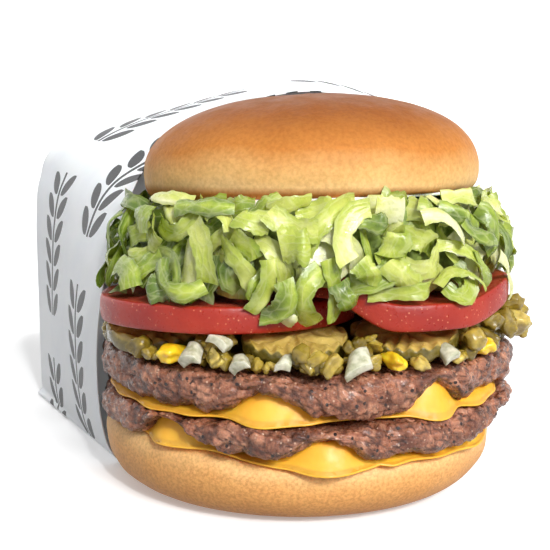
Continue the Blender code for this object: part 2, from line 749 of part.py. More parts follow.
def wrapper_point(along, around):
    """along runs from 0 at the open front edge to 1 at the back edge, then to 2 across the back."""
    front, back = loop_point(WRAP_FRONT, around), loop_point(WRAP_BACK, around)
    side = min(along, 1.0)
    point = front.lerp(back, side)
    lifted = smooth(70.0, 100.0, point.z)
    point.z += WRAP_ARCH * math.sin(math.pi * side) * lifted
    if along > 1.0:
        inward = along - 1.0
        seam_z = SEAM_Z + (SEAM_HALF_GAP if back.z > SEAM_Z else -SEAM_HALF_GAP)
        seam = Vector((max(SEAM_LEFT, min(SEAM_RIGHT, back.x)), back.y, seam_z))
        point = back.lerp(seam, inward)
        point.y = back.y + BACK_BULGE * math.sin(0.5 * math.pi * min(1.0, 2.5 * inward))
        if point.z < 0.02:
            point.z = 0.0
    return point


def wrapper(finish, collection):
    last_row = len(WRAP_ROWS) - 1
    bm = bmesh.new()
    bmesh.ops.create_grid(bm, x_segments=WRAP_COLUMNS, y_segments=last_row, size=0.5)
    for vertex in bm.verts:
        column = round((vertex.co.x + 0.5) * WRAP_COLUMNS)
        row = round((vertex.co.y + 0.5) * last_row)
        vertex.co = wrapper_point(WRAP_ROWS[row], (column % WRAP_COLUMNS) / WRAP_COLUMNS) * MM
    bmesh.ops.remove_doubles(bm, verts=bm.verts[:], dist=0.01 * MM)
    seam_edges = [edge for edge in bm.edges if edge.is_boundary and edge.verts[0].co.y > 66.0 * MM]
    bmesh.ops.contextual_create(bm, geom=seam_edges)
    bmesh.ops.triangulate(bm, faces=bm.faces[:])
    bmesh.ops.recalc_face_normals(bm, faces=bm.faces[:])
    obj = from_bmesh("wrapper", bm, finish, collection)
    sheet = obj.modifiers.new("Sheet", "SOLIDIFY")
    sheet.thickness = PAPER * MM
    sheet.offset = -1.0
    return obj


def main():
    for obj in list(bpy.data.objects):
        bpy.data.objects.remove(obj)
    collection = bpy.data.collections.new("double cheeseburger")
    bpy.context.scene.collection.children.link(collection)
    bun = material("bun", (0.78, 0.43, 0.17), 0.55)
    meat = material("meat", (0.16, 0.07, 0.045), 0.45)
    cheese = material("cheese", (0.95, 0.55, 0.05), 0.35)
    tomato_red = material("tomato", (0.62, 0.05, 0.03), 0.25)
    leaf = material("lettuce", (0.42, 0.58, 0.13), 0.4)
    pickle_green = material("pickle", (0.33, 0.29, 0.05), 0.3)
    relish_green = material("relish", (0.2, 0.19, 0.03), 0.25)
    onion_white = material("onion", (0.82, 0.84, 0.74), 0.3)
    mustard_yellow = material("mustard", (0.95, 0.72, 0.03), 0.3)
    sauce = material("mayonnaise", (0.92, 0.9, 0.82), 0.3)
    paper = material("paper", (0.86, 0.86, 0.88), 0.5)

    heel(bun, collection)
    patties_and_cheese(meat, cheese, collection)
    toppings = [pickle(name, place, pickle_green, collection) for name, place in PICKLES.items()]
    toppings += [onion(name, place, onion_white, collection) for name, place in ONIONS.items()]
    toppings += [mustard(name, place, mustard_yellow, collection) for name, place in MUSTARDS.items()]
    toppings.append(tomato("tomato_left", TOMATO_LEFT, left_tomato_base, tomato_red, collection))
    toppings.append(tomato("tomato_right", TOMATO_RIGHT, right_tomato_base, tomato_red, collection))
    toppings.append(mayonnaise(sauce, collection))
    toppings.append(crown(bun, collection))
    toppings.append(wrapper(paper, collection))
    toppings.append(relish(relish_green, collection, world_trees(toppings)))
    lettuce(leaf, collection, world_trees(toppings))


main()
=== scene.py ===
"""The double cheeseburger as it looks: bread, meat, melted cheese, cut vegetables and a printed wrapper.

Lengths are in millimetres, and MM turns them into metres as a mesh is made. +Z is up, the middle of the
burger is the Z axis, and the open front of the wrapper faces -Y. A bearing is in degrees, seen from
above: 0 is the front, -Y, and 90 is the right, +X.
"""

import random
from functools import partial
from math import asin, atan2, cos, degrees, exp, hypot, pi, radians, sin, sqrt, tan

import bmesh
import bpy
from mathutils import Matrix, Vector, noise
from mathutils.bvhtree import BVHTree


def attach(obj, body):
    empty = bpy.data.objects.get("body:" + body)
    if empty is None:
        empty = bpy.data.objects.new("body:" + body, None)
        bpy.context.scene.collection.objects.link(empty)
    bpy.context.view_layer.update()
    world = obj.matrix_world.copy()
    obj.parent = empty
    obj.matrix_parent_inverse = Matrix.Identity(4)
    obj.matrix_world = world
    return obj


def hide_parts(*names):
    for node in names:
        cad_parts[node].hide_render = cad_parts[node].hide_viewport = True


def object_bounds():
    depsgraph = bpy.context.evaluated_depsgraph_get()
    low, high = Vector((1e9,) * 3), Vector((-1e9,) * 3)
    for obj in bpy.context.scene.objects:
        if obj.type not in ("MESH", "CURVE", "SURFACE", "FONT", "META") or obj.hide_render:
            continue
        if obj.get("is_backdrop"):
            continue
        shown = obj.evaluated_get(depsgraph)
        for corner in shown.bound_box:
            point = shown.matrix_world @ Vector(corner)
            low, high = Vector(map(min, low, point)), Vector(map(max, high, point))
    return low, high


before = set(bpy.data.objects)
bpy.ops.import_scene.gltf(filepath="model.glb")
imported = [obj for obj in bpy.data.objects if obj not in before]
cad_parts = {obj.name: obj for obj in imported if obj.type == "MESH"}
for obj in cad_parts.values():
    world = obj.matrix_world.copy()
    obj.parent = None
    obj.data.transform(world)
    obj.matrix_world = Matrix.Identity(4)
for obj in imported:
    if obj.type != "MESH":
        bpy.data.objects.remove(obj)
CAD_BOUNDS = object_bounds()

MM = 0.001
ROOT = "root"
GAP = 0.35
PAPER = 0.5

# The stack, from the table up. The solids have the same radii and levels.
HEEL_RADIUS = 56.2
HEEL_X = -2.2
HEEL_BASE = PAPER + GAP
HEEL_TOP = 16.6
HEEL_LOWER_ROUND = 12.0
HEEL_UPPER_ROUND = 3.6
PATTY_RADIUS = 60.4
CHEESE_THICK = 1.7
CHEESE_RADIUS = 54.3
LOWER_PATTY_BASE = HEEL_TOP + CHEESE_THICK + 2 * GAP
LOWER_PATTY_TOP = 27.7
UPPER_PATTY_BASE = LOWER_PATTY_TOP + CHEESE_THICK + 2 * GAP
UPPER_PATTY_TOP = 40.3
RELISH_TOP = 47.9
TOMATO_THICK = 6.7
TOMATO_BASE = 48.8
LETTUCE_BASE = TOMATO_BASE + TOMATO_THICK
LETTUCE_TOP = 79.0
CROWN_BASE = 80.9
CROWN_WIDEST = 87.0
CROWN_TOP = 109.2
CROWN_RADIUS = 48.7
CROWN_POWER = 2.15
CROWN_CENTRE = (1.9, 3.0)
CROWN_TILT = 1.8

# Where the rim of each patty arches up over melted cheese: (bearing, half width in degrees, rise).
LOWER_ARCHES = ((-38.5, 7.4, 6.0), (4.0, 8.0, 5.2))
UPPER_ARCHES = ((-10.5, 8.6, 6.2), (33.0, 6.8, 7.4), (-50.0, 22.0, 1.0), (56.0, 12.0, 1.8))
LEFT_SWELL = 2.7
LOWER_RIM = 18.3
UPPER_RIM = 28.9


# Shaping


def smooth(start, end, value):
    """0 up to start, 1 from end on, with an S-curve between."""
    share = min(1.0, max(0.0, (value - start) / (end - start)))
    return share * share * (3.0 - 2.0 * share)


def bell(bearing, centre, width):
    """1 at the centre, falling away on both sides; the difference of the bearings is wrapped."""
    off = (bearing - centre + 180.0) % 360.0 - 180.0
    return exp(-((off / width) ** 2))


def polar(radius, bearing):
    angle = radians(bearing)
    return radius * sin(angle), -radius * cos(angle)


def bearing_of(x, y):
    return degrees(atan2(x, -y))


def lumps(point, size, seed=0.0):
    """Smooth relief from -1 to 1, with lumps about as wide as size."""
    return noise.noise(Vector(point) / size + Vector((seed, 0.0, 0.0)))


def to_metres(bm):
    bmesh.ops.scale(bm, vec=(MM, MM, MM), verts=bm.verts[:])


def rotation(angle, axis):
    """A turn by an angle in degrees."""
    return Matrix.Rotation(radians(angle), 4, axis)


def ringed(segments, rings):
    """A sphere, and (vertex, ring from 0 at the bottom to rings at the top, bearing) for each vertex."""
    bm = bmesh.new()
    bmesh.ops.create_uvsphere(bm, u_segments=segments, v_segments=rings, radius=1.0)
    places = []
    for vertex in bm.verts:
        x, y, z = vertex.co
        ring = round((asin(max(-1.0, min(1.0, z))) / pi + 0.5) * rings)
        places.append((vertex, ring, bearing_of(x, y)))
    return bm, places


def turned(profile, segments):
    """A round shape from the points of its profile, (radius, height), from the lowest to the highest."""
    bm, places = ringed(segments, len(profile) - 1)
    for vertex, ring, bearing in places:
        radius, height = profile[ring]
        vertex.co = Vector((*polar(radius, bearing), height))
    return bm


def add_object(name, data):
    obj = bpy.data.objects.new(name, data)
    bpy.context.scene.collection.objects.link(obj)
    return obj


def add_mesh(name, bm, finish):
    mesh = bpy.data.meshes.new(name)
    bm.to_mesh(mesh)
    bm.free()
    mesh.materials.append(finish)
    mesh.shade_smooth()
    return add_object(name, mesh)


def add_piece(name, bm, finish, slot, *nodes, sharp=60.0):
    """Makes the mesh a piece of the burger that stands for the nodes. The mesh is in metres already."""
    obj = add_mesh(name, bm, finish)
    obj.data.set_sharp_from_angle(angle=radians(sharp))
    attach(obj, ROOT)
    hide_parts(*nodes)
    return obj


def put_values(mesh, name, values):
    """Gives each point a value, or a vector, that the finish reads."""
    if isinstance(values[0], tuple):
        vectors = mesh.attributes.new(name, "FLOAT_VECTOR", "POINT")
        vectors.data.foreach_set("vector", [part for vector in values for part in vector])
    else:
        mesh.attributes.new(name, "FLOAT", "POINT").data.foreach_set("value", values)


# Materials


class Finish:
    """A material in the making. Sizes are in millimetres and colours as on a screen, 0 to 255."""

    def __init__(self, name, roughness, scatter=0.0, scatter_scale=3.0, **sockets):
        self.material = bpy.data.materials.new(name)
        self.material.use_nodes = True
        self.tree = self.material.node_tree
        self.shader = self.tree.nodes["Principled BSDF"]
        sockets |= {"Roughness": roughness, "Subsurface_Weight": scatter}
        sockets["Subsurface_Scale"] = scatter_scale * MM
        for socket, value in sockets.items():
            self.shader.inputs[socket.replace("_", " ")].default_value = value
        self.place = self.add("ShaderNodeTexCoord").outputs["Object"]

    def add(self, kind, inputs=None, **settings):
        node = self.tree.nodes.new(kind)
        for key, value in settings.items():
            setattr(node, key, value)
        for key, value in (inputs or {}).items():
            if isinstance(value, bpy.types.NodeSocket):
                self.tree.links.new(value, node.inputs[key])
            else:
                node.inputs[key].default_value = value
        return node

    def noise(self, size, detail=3.0, roughness=0.5):
        inputs = {"Scale": 1.0 / (size * MM), "Detail": detail, "Roughness": roughness, "Vector": self.place}
        return self.add("ShaderNodeTexNoise", inputs).outputs["Fac"]

    def cells(self, size, vector=None, **settings):
        inputs = {"Scale": 1.0 / (size * MM), "Vector": vector or self.place}
        return self.add("ShaderNodeTexVoronoi", inputs, **settings).outputs["Distance"]

    def maths(self, operation, first, second=0.0, clamp=False):
        node = self.add("ShaderNodeMath", {0: first, 1: second}, operation=operation, use_clamp=clamp)
        return node.outputs[0]

    def times(self, first, second):
        return self.maths("MULTIPLY", first, second)

    def plus(self, first, second, clamp=False):
        return self.maths("ADD", first, second, clamp)

    def minus(self, first, second):
        return self.maths("SUBTRACT", first, second)

    def ramp(self, value, *stops):
        """Stops are (position, colour), or (position, grey from 0 to 1)."""
        node = self.add("ShaderNodeValToRGB", {"Fac": value})
        elements = node.color_ramp.elements
        while len(elements) < len(stops):
            elements.new(0.5)
        for element, (position, colour) in zip(elements, stops):
            element.position = position
            element.color = linear(colour) if isinstance(colour, tuple) else (colour, colour, colour, 1.0)
        return node.outputs["Color"]

    def mix(self, share, first, second, blend="MIX"):
        inputs = {0: share, 6: linear(first), 7: linear(second)}
        return self.add("ShaderNodeMix", inputs, data_type="RGBA", blend_type=blend).outputs[2]

    def patches(self, size, low, high, detail=3.0, roughness=0.5):
        """Soft patches of two stops."""
        return self.ramp(self.noise(size, detail, roughness), low, high)

    def wander(self, size, amount):
        """Uneven values about zero."""
        return self.times(self.minus(self.noise(size), 0.5), amount)

    def attribute(self, name, output="Fac"):
        return self.add("ShaderNodeAttribute", attribute_name=name).outputs[output]

    def axes(self, vector=None):
        node = self.add("ShaderNodeSeparateXYZ", {0: vector or self.place})
        return node.outputs["X"], node.outputs["Y"], node.outputs["Z"]

    def bump(self, height, depth, strength):
        """Low relief; a second call adds to the first."""
        inputs = {"Height": height, "Distance": depth * MM, "Strength": strength}
        below = self.shader.inputs["Normal"]
        if below.is_linked:
            inputs["Normal"] = below.links[0].from_socket
        self.tree.links.new(self.add("ShaderNodeBump", inputs).outputs["Normal"], below)

    def grain(self, size, depth, strength, detail=3.0, roughness=0.5):
        self.bump(self.noise(size, detail, roughness), depth, strength)

    def set(self, socket, value):
        self.tree.links.new(value, self.shader.inputs[socket])

    def colour(self, value):
        self.set("Base Color", value)

    def gloss(self, size, low, high, detail=3.0):
        """Roughness in patches."""
        self.set("Roughness", self.patches(size, low, high, detail))


WHITE = (255, 255, 255)


def linear(colour):
    """A screen colour as a shader takes it. What isn't a colour stays as it is."""
    if not isinstance(colour, tuple):
        return colour
    values = (channel / 255.0 for channel in colour)
    return (*(v / 12.92 if v <= 0.04045 else ((v + 0.055) / 1.055) ** 2.4 for v in values), 1.0)


def crown_finish():
    """Brown on top, golden down the side, cream where the crust turns under, with a thin toasted edge."""
    made = Finish("crown crust", 0.5, 0.12, 4.0, Specular_IOR_Level=0.1)
    height = made.minus(made.axes()[2], CROWN_BASE * MM)
    low = made.times(height, 1.0 / ((CROWN_TOP - CROWN_BASE) * MM))
    crust = made.ramp(
        made.plus(low, made.wander(26.0, 0.3), clamp=True),
        (0.0, (246, 208, 152)),
        (0.16, (238, 190, 122)),
        (0.42, (198, 128, 59)),
        (0.74, (150, 86, 31)),
        (1.0, (122, 66, 19)),
    )
    crust = made.mix(1.0, crust, made.ramp(low, (0.03, (206, 156, 108)), (0.1, WHITE)), "MULTIPLY")
    crumb = made.patches(1.1, (0.34, (218, 208, 196)), (0.62, WHITE), 4.0, 0.6)
    made.colour(made.mix(0.55, crust, crumb, "MULTIPLY"))
    made.gloss(5.0, (0.3, 0.46), (0.7, 0.62), 4.0)
    made.grain(0.9, 0.12, 0.6, 3.0, 0.6)
    made.grain(4.0, 0.35, 0.4, 2.0)
    return made.material


def heel_finish():
    """A pale floury side, browner towards the tray, and a cream cut face."""
    made = Finish("heel crust", 0.6, 0.15, 4.0)
    crust = made.ramp(
        made.plus(made.attribute("level"), made.wander(16.0, 0.3)),
        (0.0, (188, 118, 56)),
        (0.3, (212, 148, 78)),
        (0.66, (232, 170, 98)),
        (0.97, (242, 196, 130)),
        (1.0, (245, 212, 156)),
    )
    crumb = made.patches(0.8, (0.36, (200, 184, 164)), (0.6, WHITE), 4.0, 0.65)
    made.colour(made.mix(0.6, crust, crumb, "MULTIPLY"))
    made.grain(0.7, 0.16, 0.6, 3.0, 0.6)
    made.grain(3.2, 0.4, 0.35, 2.0)
    return made.material


def meat_finish():
    """Grey-brown to pinkish grains, seared patches, painted shade in the hollows between the granules, fat,
    pepper, and a greasy shine.
    """
    shine = {"Coat_Weight": 0.22, "Coat_Roughness": 0.2, "Specular_IOR_Level": 0.36}
    made = Finish("grilled meat", 0.4, 0.08, 2.0, **shine)
    fine = made.mix(made.patches(1.2, (0.38, 0.0), (0.62, 1.0), 5.0, 0.7), (90, 44, 30), (206, 142, 108))
    granules = made.ramp(
        made.attribute("tone"),
        (0.0, (88, 44, 30)),
        (0.35, (136, 80, 57)),
        (0.7, (174, 112, 85)),
        (1.0, (212, 156, 126)),
    )
    meat = made.mix(0.5, fine, granules)
    meat = made.mix(made.patches(7.0, (0.46, 0.0), (0.64, 0.75), 4.0), meat, (78, 36, 22))
    # Painted shade: darker where a point lies deep between the granules.
    meat = made.mix(made.ramp(made.attribute("depth"), (0.03, 0.85), (0.34, 0.0)), meat, (46, 22, 16))
    fat = made.times(made.ramp(made.cells(1.7), (0.12, 1.0), (0.2, 0.0)), 0.55)
    meat = made.mix(fat, meat, (224, 186, 160))
    pepper = made.ramp(made.cells(2.2), (0.18, 1.0), (0.24, 0.0))
    pepper = made.times(pepper, made.patches(6.0, (0.44, 0.0), (0.5, 1.0)))
    made.colour(made.mix(pepper, meat, (36, 16, 12)))
    made.gloss(0.9, (0.42, 0.18), (0.54, 0.5))
    made.bump(made.cells(1.5), 0.35, 0.7)
    made.grain(0.9, 0.6, 1.0, 4.0, 0.65)
    return made.material


def cheese_finish():
    made = Finish("melted cheese", 0.5, 0.3, Subsurface_Radius=(1.0, 0.6, 0.15))
    made.colour(made.patches(9.0, (0.35, (245, 172, 38)), (0.65, (250, 186, 54))))
    made.gloss(3.0, (0.4, 0.42), (0.65, 0.6))
    made.grain(2.4, 0.2, 0.4, 2.0)
    return made.material


def tomato_finish():
    """Red skin round the edge, and paler, wetter flesh on the cut face."""
    made = Finish("tomato", 0.2, 0.25, Subsurface_Radius=(1.0, 0.25, 0.15))
    skin = made.patches(12.0, (0.35, (148, 22, 5)), (0.68, (168, 40, 13)))
    cut = made.patches(2.2, (0.32, (176, 46, 28)), (0.7, (200, 84, 58)), 4.0, 0.6)
    # Pale flecks: partly juice, and partly painted glints of light on the wet surface.
    flecks = made.times(made.ramp(made.cells(1.3), (0.1, 1.0), (0.2, 0.0)), 0.5)
    made.colour(made.mix(flecks, made.mix(made.attribute("flesh"), skin, cut), (240, 160, 120)))
    made.gloss(1.1, (0.3, 0.12), (0.42, 0.46))
    made.grain(1.2, 0.2, 0.6)
    return made.material


def leaf_finish():
    """Crisp leaf, from a pale rib to a fresh green edge, by the strip's tone, which also carries painted
    shade on the strips at the left.
    """
    made = Finish("lettuce leaf", 0.34, 0.3, Subsurface_Radius=(0.8, 1.0, 0.25))
    leaf = made.ramp(
        made.plus(made.attribute("tone"), made.wander(3.5, 0.6), clamp=True),
        (0.0, (228, 231, 172)),
        (0.24, (206, 214, 112)),
        (0.5, (178, 192, 76)),
        (0.74, (142, 163, 52)),
        (1.0, (86, 110, 32)),
    )
    inputs = {0: made.attribute("leaf", "Vector"), 1: (0.3, 1.0, 1.0)}
    stretched = made.add("ShaderNodeVectorMath", inputs, operation="MULTIPLY").outputs[0]
    veins = made.cells(1.7, stretched, feature="DISTANCE_TO_EDGE")
    shown = made.times(made.ramp(veins, (0.0, 1.0), (0.12, 0.0)), 0.22)
    made.colour(made.mix(shown, leaf, (226, 230, 176)))
    made.gloss(3.0, (0.4, 0.22), (0.65, 0.46))
    made.bump(veins, 0.35, 0.6)
    made.grain(1.2, 0.25, 0.5)
    return made.material


def core_finish():
    # The hidden inner leaves, seen in the gaps between the shreds, in a darker green painted as leaf in
    # shade.
    made = Finish("lettuce core in painted shade", 0.5)
    made.colour(made.patches(4.0, (0.35, (104, 124, 48)), (0.65, (168, 186, 96))))
    made.grain(3.0, 1.2, 0.8)
    return made.material


def pickle_finish():
    made = Finish("pickle chip", 0.16, 0.2, Subsurface_Radius=(0.9, 0.8, 0.2))
    flesh = made.patches(3.4, (0.34, (180, 152, 72)), (0.66, (220, 192, 108)), 4.0)
    peel = made.patches(2.2, (0.36, (88, 78, 26)), (0.66, (126, 110, 46)), 4.0)
    made.colour(made.mix(made.attribute("rim"), flesh, peel))
    made.gloss(1.6, (0.4, 0.08), (0.66, 0.28))
    made.grain(0.9, 0.2, 0.5)
    return made.material


def relish_finish():
    made = Finish("chopped pickle", 0.14, 0.45, Subsurface_Radius=(0.9, 0.8, 0.2))
    base = made.ramp(
        made.attribute("tone"),
        (0.0, (98, 82, 24)),
        (0.3, (130, 110, 36)),
        (0.6, (166, 142, 56)),
        (0.85, (196, 170, 80)),
        (1.0, (216, 190, 100)),
    )
    shade = made.patches(2.0, (0.34, (176, 172, 140)), (0.64, WHITE), 4.0)
    made.colour(made.mix(0.7, base, shade, "MULTIPLY"))
    made.gloss(1.5, (0.4, 0.07), (0.66, 0.26))
    made.grain(0.8, 0.25, 0.5)
    return made.material


def onion_finish():
    made = Finish("onion", 0.14, 0.7, 4.0, Subsurface_Radius=(1.0, 1.0, 0.9))
    made.colour(made.patches(1.8, (0.34, (172, 173, 142)), (0.62, (216, 214, 192))))
    made.grain(1.0, 0.15, 0.4, 2.0)
    return made.material


def sauce_finish(name, low, high):
    made = Finish(name, 0.22, 0.3, 2.0)
    made.colour(made.patches(3.0, (0.35, low), (0.65, high)))
    made.grain(1.8, 0.2, 0.4, 2.0)
    return made.material


# One sprig of the wrapper's print, and the half-drop layout that repeats it, in millimetres.
SPRIG_WIDE = 34.0
SPRIG_HIGH = 66.0
LEAF_PITCH = 8.4
LEAF_OUT = 5.2
LEAF_LONG = 5.6
LEAF_THICK = 2.3
LEAF_SLANT = 52.0
LEAF_POINTED = 1.4
STEM_HALF = 0.75
STEM_REACH = 25.5


def paper_finish():
    """White sandwich paper with black sprigs, in columns that are shifted by half a sprig."""
    made = Finish("printed paper", 0.5, 0.1, 2.0)
    across, up, _level = made.axes(made.attribute("print", "Vector"))
    column = made.maths("FLOOR", made.maths("DIVIDE", across, SPRIG_WIDE))
    drop = made.times(made.maths("MODULO", made.maths("ABSOLUTE", column), 2.0), 0.5 * SPRIG_HIGH)
    x = made.minus(across, made.times(made.plus(column, 0.5), SPRIG_WIDE))
    row = made.maths("DIVIDE", made.plus(up, drop), SPRIG_HIGH)
    y = made.times(made.minus(made.maths("FRACT", row), 0.5), SPRIG_HIGH)
    side, reach = made.maths("ABSOLUTE", x), made.maths("ABSOLUTE", y)
    in_stem = made.maths("LESS_THAN", side, STEM_HALF)
    stem = made.times(in_stem, made.maths("LESS_THAN", reach, STEM_REACH))
    step = made.maths("DIVIDE", y, LEAF_PITCH)
    local = made.times(made.minus(made.maths("FRACT", step), 0.5), LEAF_PITCH)
    out = made.minus(side, LEAF_OUT)
    cosine, sine = cos(radians(LEAF_SLANT)), sin(radians(LEAF_SLANT))
    long = made.plus(made.times(out, cosine), made.times(local, sine))
    thick = made.minus(made.times(local, cosine), made.times(out, sine))
    parts = []
    for value, full, power in ((long, LEAF_LONG, 2.0), (thick, LEAF_THICK, LEAF_POINTED)):
        parts.append(made.maths("POWER", made.maths("ABSOLUTE", made.maths("DIVIDE", value, full)), power))
    in_leaf = made.maths("LESS_THAN", made.plus(*parts), 1.0)
    leaf = made.times(in_leaf, made.maths("LESS_THAN", reach, 3.0 * LEAF_PITCH))
    ink = made.times(made.maths("MAXIMUM", stem, leaf), made.patches(0.5, (0.2, 0.9), (0.4, 1.0), 2.0))
    white = made.patches(18.0, (0.35, (242, 243, 247)), (0.65, (250, 250, 252)))
    made.colour(made.mix(ink, white, (24, 24, 27)))
    made.grain(11.0, 0.5, 0.35)
    return made.material


def lining_finish():
    """The unprinted inner side of the paper, which lets some of the light outside through."""
    made = Finish("paper inside", 0.55, 0.4, Subsurface_Radius=(1.0, 1.0, 1.0))
    made.colour(made.patches(18.0, (0.35, (236, 236, 239)), (0.65, (246, 246, 248))))
    made.grain(11.0, 0.5, 0.35)
    return made.material


# Buns


def left_lift(bearing):
    """How far the top of the heel swells up at the left of the front."""
    return LEFT_SWELL * smooth(12.0, 32.0, -bearing) * (1.0 - smooth(60.0, 110.0, -bearing))


def arc(centre_r, centre_z, radius, start, end, steps):
    """Points of a profile's round corner, as (radius from the axis, height)."""
    found = []
    for step in range(steps + 1):
        angle = radians(start + (end - start) * step / steps)
        found.append((centre_r + radius * cos(angle), centre_z + radius * sin(angle)))
    return found


CROWN_ROUND = 3.0
ROUND_STEPS = 8
DOME_STEPS = 40


def crown():
    """The dome, with the slight dents and swellings of baked dough, and a rim that turns under."""
    rise = CROWN_TOP - CROWN_WIDEST
    drop = CROWN_BASE - CROWN_WIDEST
    profile = [(0.0, drop), (20.0, drop), (38.0, drop), (CROWN_RADIUS - 4.0, drop + 0.1)]
    for step in range(1, ROUND_STEPS + 1):
        angle = radians(-90.0 + 90.0 * step / ROUND_STEPS)
        profile.append((CROWN_RADIUS - CROWN_ROUND + CROWN_ROUND * cos(angle), -drop * sin(angle)))
    for step in range(1, DOME_STEPS + 1):
        angle = radians(90.0 * step / DOME_STEPS)
        radius = CROWN_RADIUS * max(0.0, cos(angle)) ** (2.0 / CROWN_POWER)
        profile.append((radius, rise * sin(angle) ** (2.0 / CROWN_POWER)))
    bm = turned(profile, 144)
    for vertex in bm.verts:
        x, y, z = vertex.co
        dent = 0.55 * lumps(vertex.co, 34.0, 4.0) + 0.16 * lumps(vertex.co, 11.0, 9.0)
        wrinkle = 0.22 * lumps((x, y, 3.0 * z), 5.0, 2.0) * smooth(6.0, 0.0, z)
        if hypot(x, y) > 0.01:
            skin = smooth(drop, 0.3 * drop, z)
            vertex.co *= 1.0 + (dent - 0.35 + wrinkle) * skin / max(20.0, vertex.co.length)
    place = Matrix.Translation(Vector((*CROWN_CENTRE, CROWN_WIDEST)))
    place = Matrix.Scale(MM, 4) @ place @ rotation(-CROWN_TILT, "Y")
    bmesh.ops.transform(bm, matrix=place, verts=bm.verts[:])
    return add_piece("crown_baked", bm, crown_finish(), "bun", "bun_crown")


def crown_base(x):
    """Height of the crown's tipped underside."""
    return CROWN_BASE + (x - CROWN_CENTRE[0]) * tan(radians(CROWN_TILT))


def heel():
    inner = HEEL_RADIUS - HEEL_LOWER_ROUND
    lower = arc(inner, HEEL_BASE + HEEL_LOWER_ROUND, HEEL_LOWER_ROUND, -90.0, 0.0, 14)
    inner = HEEL_RADIUS - HEEL_UPPER_ROUND
    upper = arc(inner, HEEL_TOP - HEEL_UPPER_ROUND, HEEL_UPPER_ROUND, 0.0, 90.0, 8)
    profile = [(0.0, HEEL_BASE), (30.0, HEEL_BASE), *lower, *upper, (38.0, HEEL_TOP), (0.0, HEEL_TOP)]
    bm = turned(profile, 160)
    levels = []
    for vertex in bm.verts:
        x, y, z = vertex.co
        levels.append(z / HEEL_TOP)
        reach, bearing = hypot(x, y), bearing_of(x, y)
        dent = 0.5 * lumps(vertex.co, 26.0, 7.0) + 0.22 * lumps(vertex.co, 7.0, 3.0) - 0.3
        side = smooth(40.0, 52.0, reach) * smooth(HEEL_BASE, 5.0, z)
        swell = left_lift(bearing) * smooth(44.0, 53.0, reach)
        x, y = polar(dent * side, bearing)
        vertex.co += Vector((x + HEEL_X, y, swell * smooth(4.0, HEEL_TOP, z)))
    to_metres(bm)
    obj = add_piece("heel_baked", bm, heel_finish(), "bun", "bun_heel")
    put_values(obj.data, "level", levels)


# Patties and cheese


def layer(outline, low, high, places, segments, relief=None):
    """A sphere whose rings run from the middle of the underside, round the rim, to the middle of the top.
    Each place is (radius or None, inset from the outline, share of the thickness). relief gives how far a
    point stands out along the rim's round."""
    bm, rings = ringed(segments, len(places) - 1)
    for vertex, ring, bearing in rings:
        fixed, inset, share = places[ring]
        edge = outline(bearing, share)
        radius = edge - inset if fixed is None else min(fixed, edge - 0.1)
        bottom, top = low(radius, bearing), high(radius, bearing)
        height = bottom + (top - bottom) * share
        if relief is not None:
            out = relief(*polar(radius, bearing), height, radius)
            lean = radians(180.0 * (share - 0.5))
            radius += out * cos(lean)
            height += out * sin(lean)
        vertex.co = Vector((*polar(radius, bearing), height))
    return bm


def level(height):
    """A surface at one height, for layer."""
    return lambda _radius, _bearing: height


def rim_places(inner, thick, steps, inner_low=()):
    """Rings of a rounded rim: flat rings, the round in even steps, and flat rings again."""
    places = [(0.0, 0.0, 0.0)]
    places += [(radius, 0.0, 0.0) for radius in inner_low]
    for step in range(steps + 1):
        angle = radians(-90.0 + 180.0 * step / steps)
        places.append((None, thick * (1.0 - cos(angle)), 0.5 + 0.5 * sin(angle)))
    places += [(radius, 0.0, 1.0) for radius in inner]
    places.append((0.0, 0.0, 1.0))
    return places


def arch_rise(bearing, arches):
    return sum(rise * bell(bearing, centre, width) for centre, width, rise in arches)


def lower_rim(bearing):
    """Height of the lower patty's bottom edge."""
    ends = 4.4 * smooth(42.0, 70.0, bearing) + 0.4 * left_lift(bearing)
    ends += 2.2 * bell(bearing, -33.0, 15.0)
    return LOWER_RIM + arch_rise(bearing, LOWER_ARCHES) + ends


def upper_rim(bearing):
    """Height of the upper patty's bottom edge."""
    return UPPER_RIM + arch_rise(bearing, UPPER_ARCHES)


CHEESE_SHOWN = 1.3
CHEESE_EDGE = 0.7
CHEESE_SLOPE = 3.6


def ragged(bearing, seed):
    """The uneven line of a melted edge."""
    coarse, fine = radians(9.0 * bearing + seed), radians(23.0 * bearing + seed)
    return 0.5 * sin(coarse) + 0.4 * sin(fine)


def lower_cheese_outline(bearing, _share=0.0):
    right = smooth(14.0, 22.0, bearing) * (1.0 - smooth(56.0, 68.0, bearing))
    spread = max(4.2 * bell(bearing, -38.5, 9.5), 4.6 * bell(bearing, 4.0, 12.5), 2.3 * right)
    return CHEESE_RADIUS + spread + ragged(bearing, 0.0) * smooth(0.5, 3.0, spread)


def upper_cheese_outline(bearing, _share=0.0):
    spread = 0.0
    for centre, width, rise in UPPER_ARCHES:
        spread = max(spread, bell(bearing, centre, 1.5 * width) * (3.2 + 0.28 * rise))
    return CHEESE_RADIUS + spread + ragged(bearing, 40.0) * smooth(0.5, 3.0, spread)


def lower_cheese_low(radius, bearing):
    """The edge of the slice hangs a little over the round edge of the heel."""
    lift = left_lift(bearing)
    droop = (1.4 - 0.3 * lift) * smooth(HEEL_RADIUS - 2.6, HEEL_RADIUS + 2.6, radius)
    return HEEL_TOP + GAP + lift * smooth(44.0, 53.0, radius) - droop


def upper_cheese_low(radius, _bearing):
    return LOWER_PATTY_TOP + GAP - 1.3 * smooth(56.0, 60.0, radius)


def cheese_high(radius, bearing, low, outline, arches):
    """The top of a slice, which fills each arch and slopes from it to its own thin edge."""
    filled = max(rise * min(1.0, 1.5 * bell(bearing, at, 1.2 * width)) for at, width, rise in arches)
    slope = min(1.0, max(0.0, (outline(bearing) - 0.2 - radius) / CHEESE_SLOPE))
    thick = CHEESE_EDGE + (CHEESE_SHOWN - CHEESE_EDGE) * slope
    return low(radius, bearing) + (thick + filled * smooth(44.0, 51.0, radius) * slope)


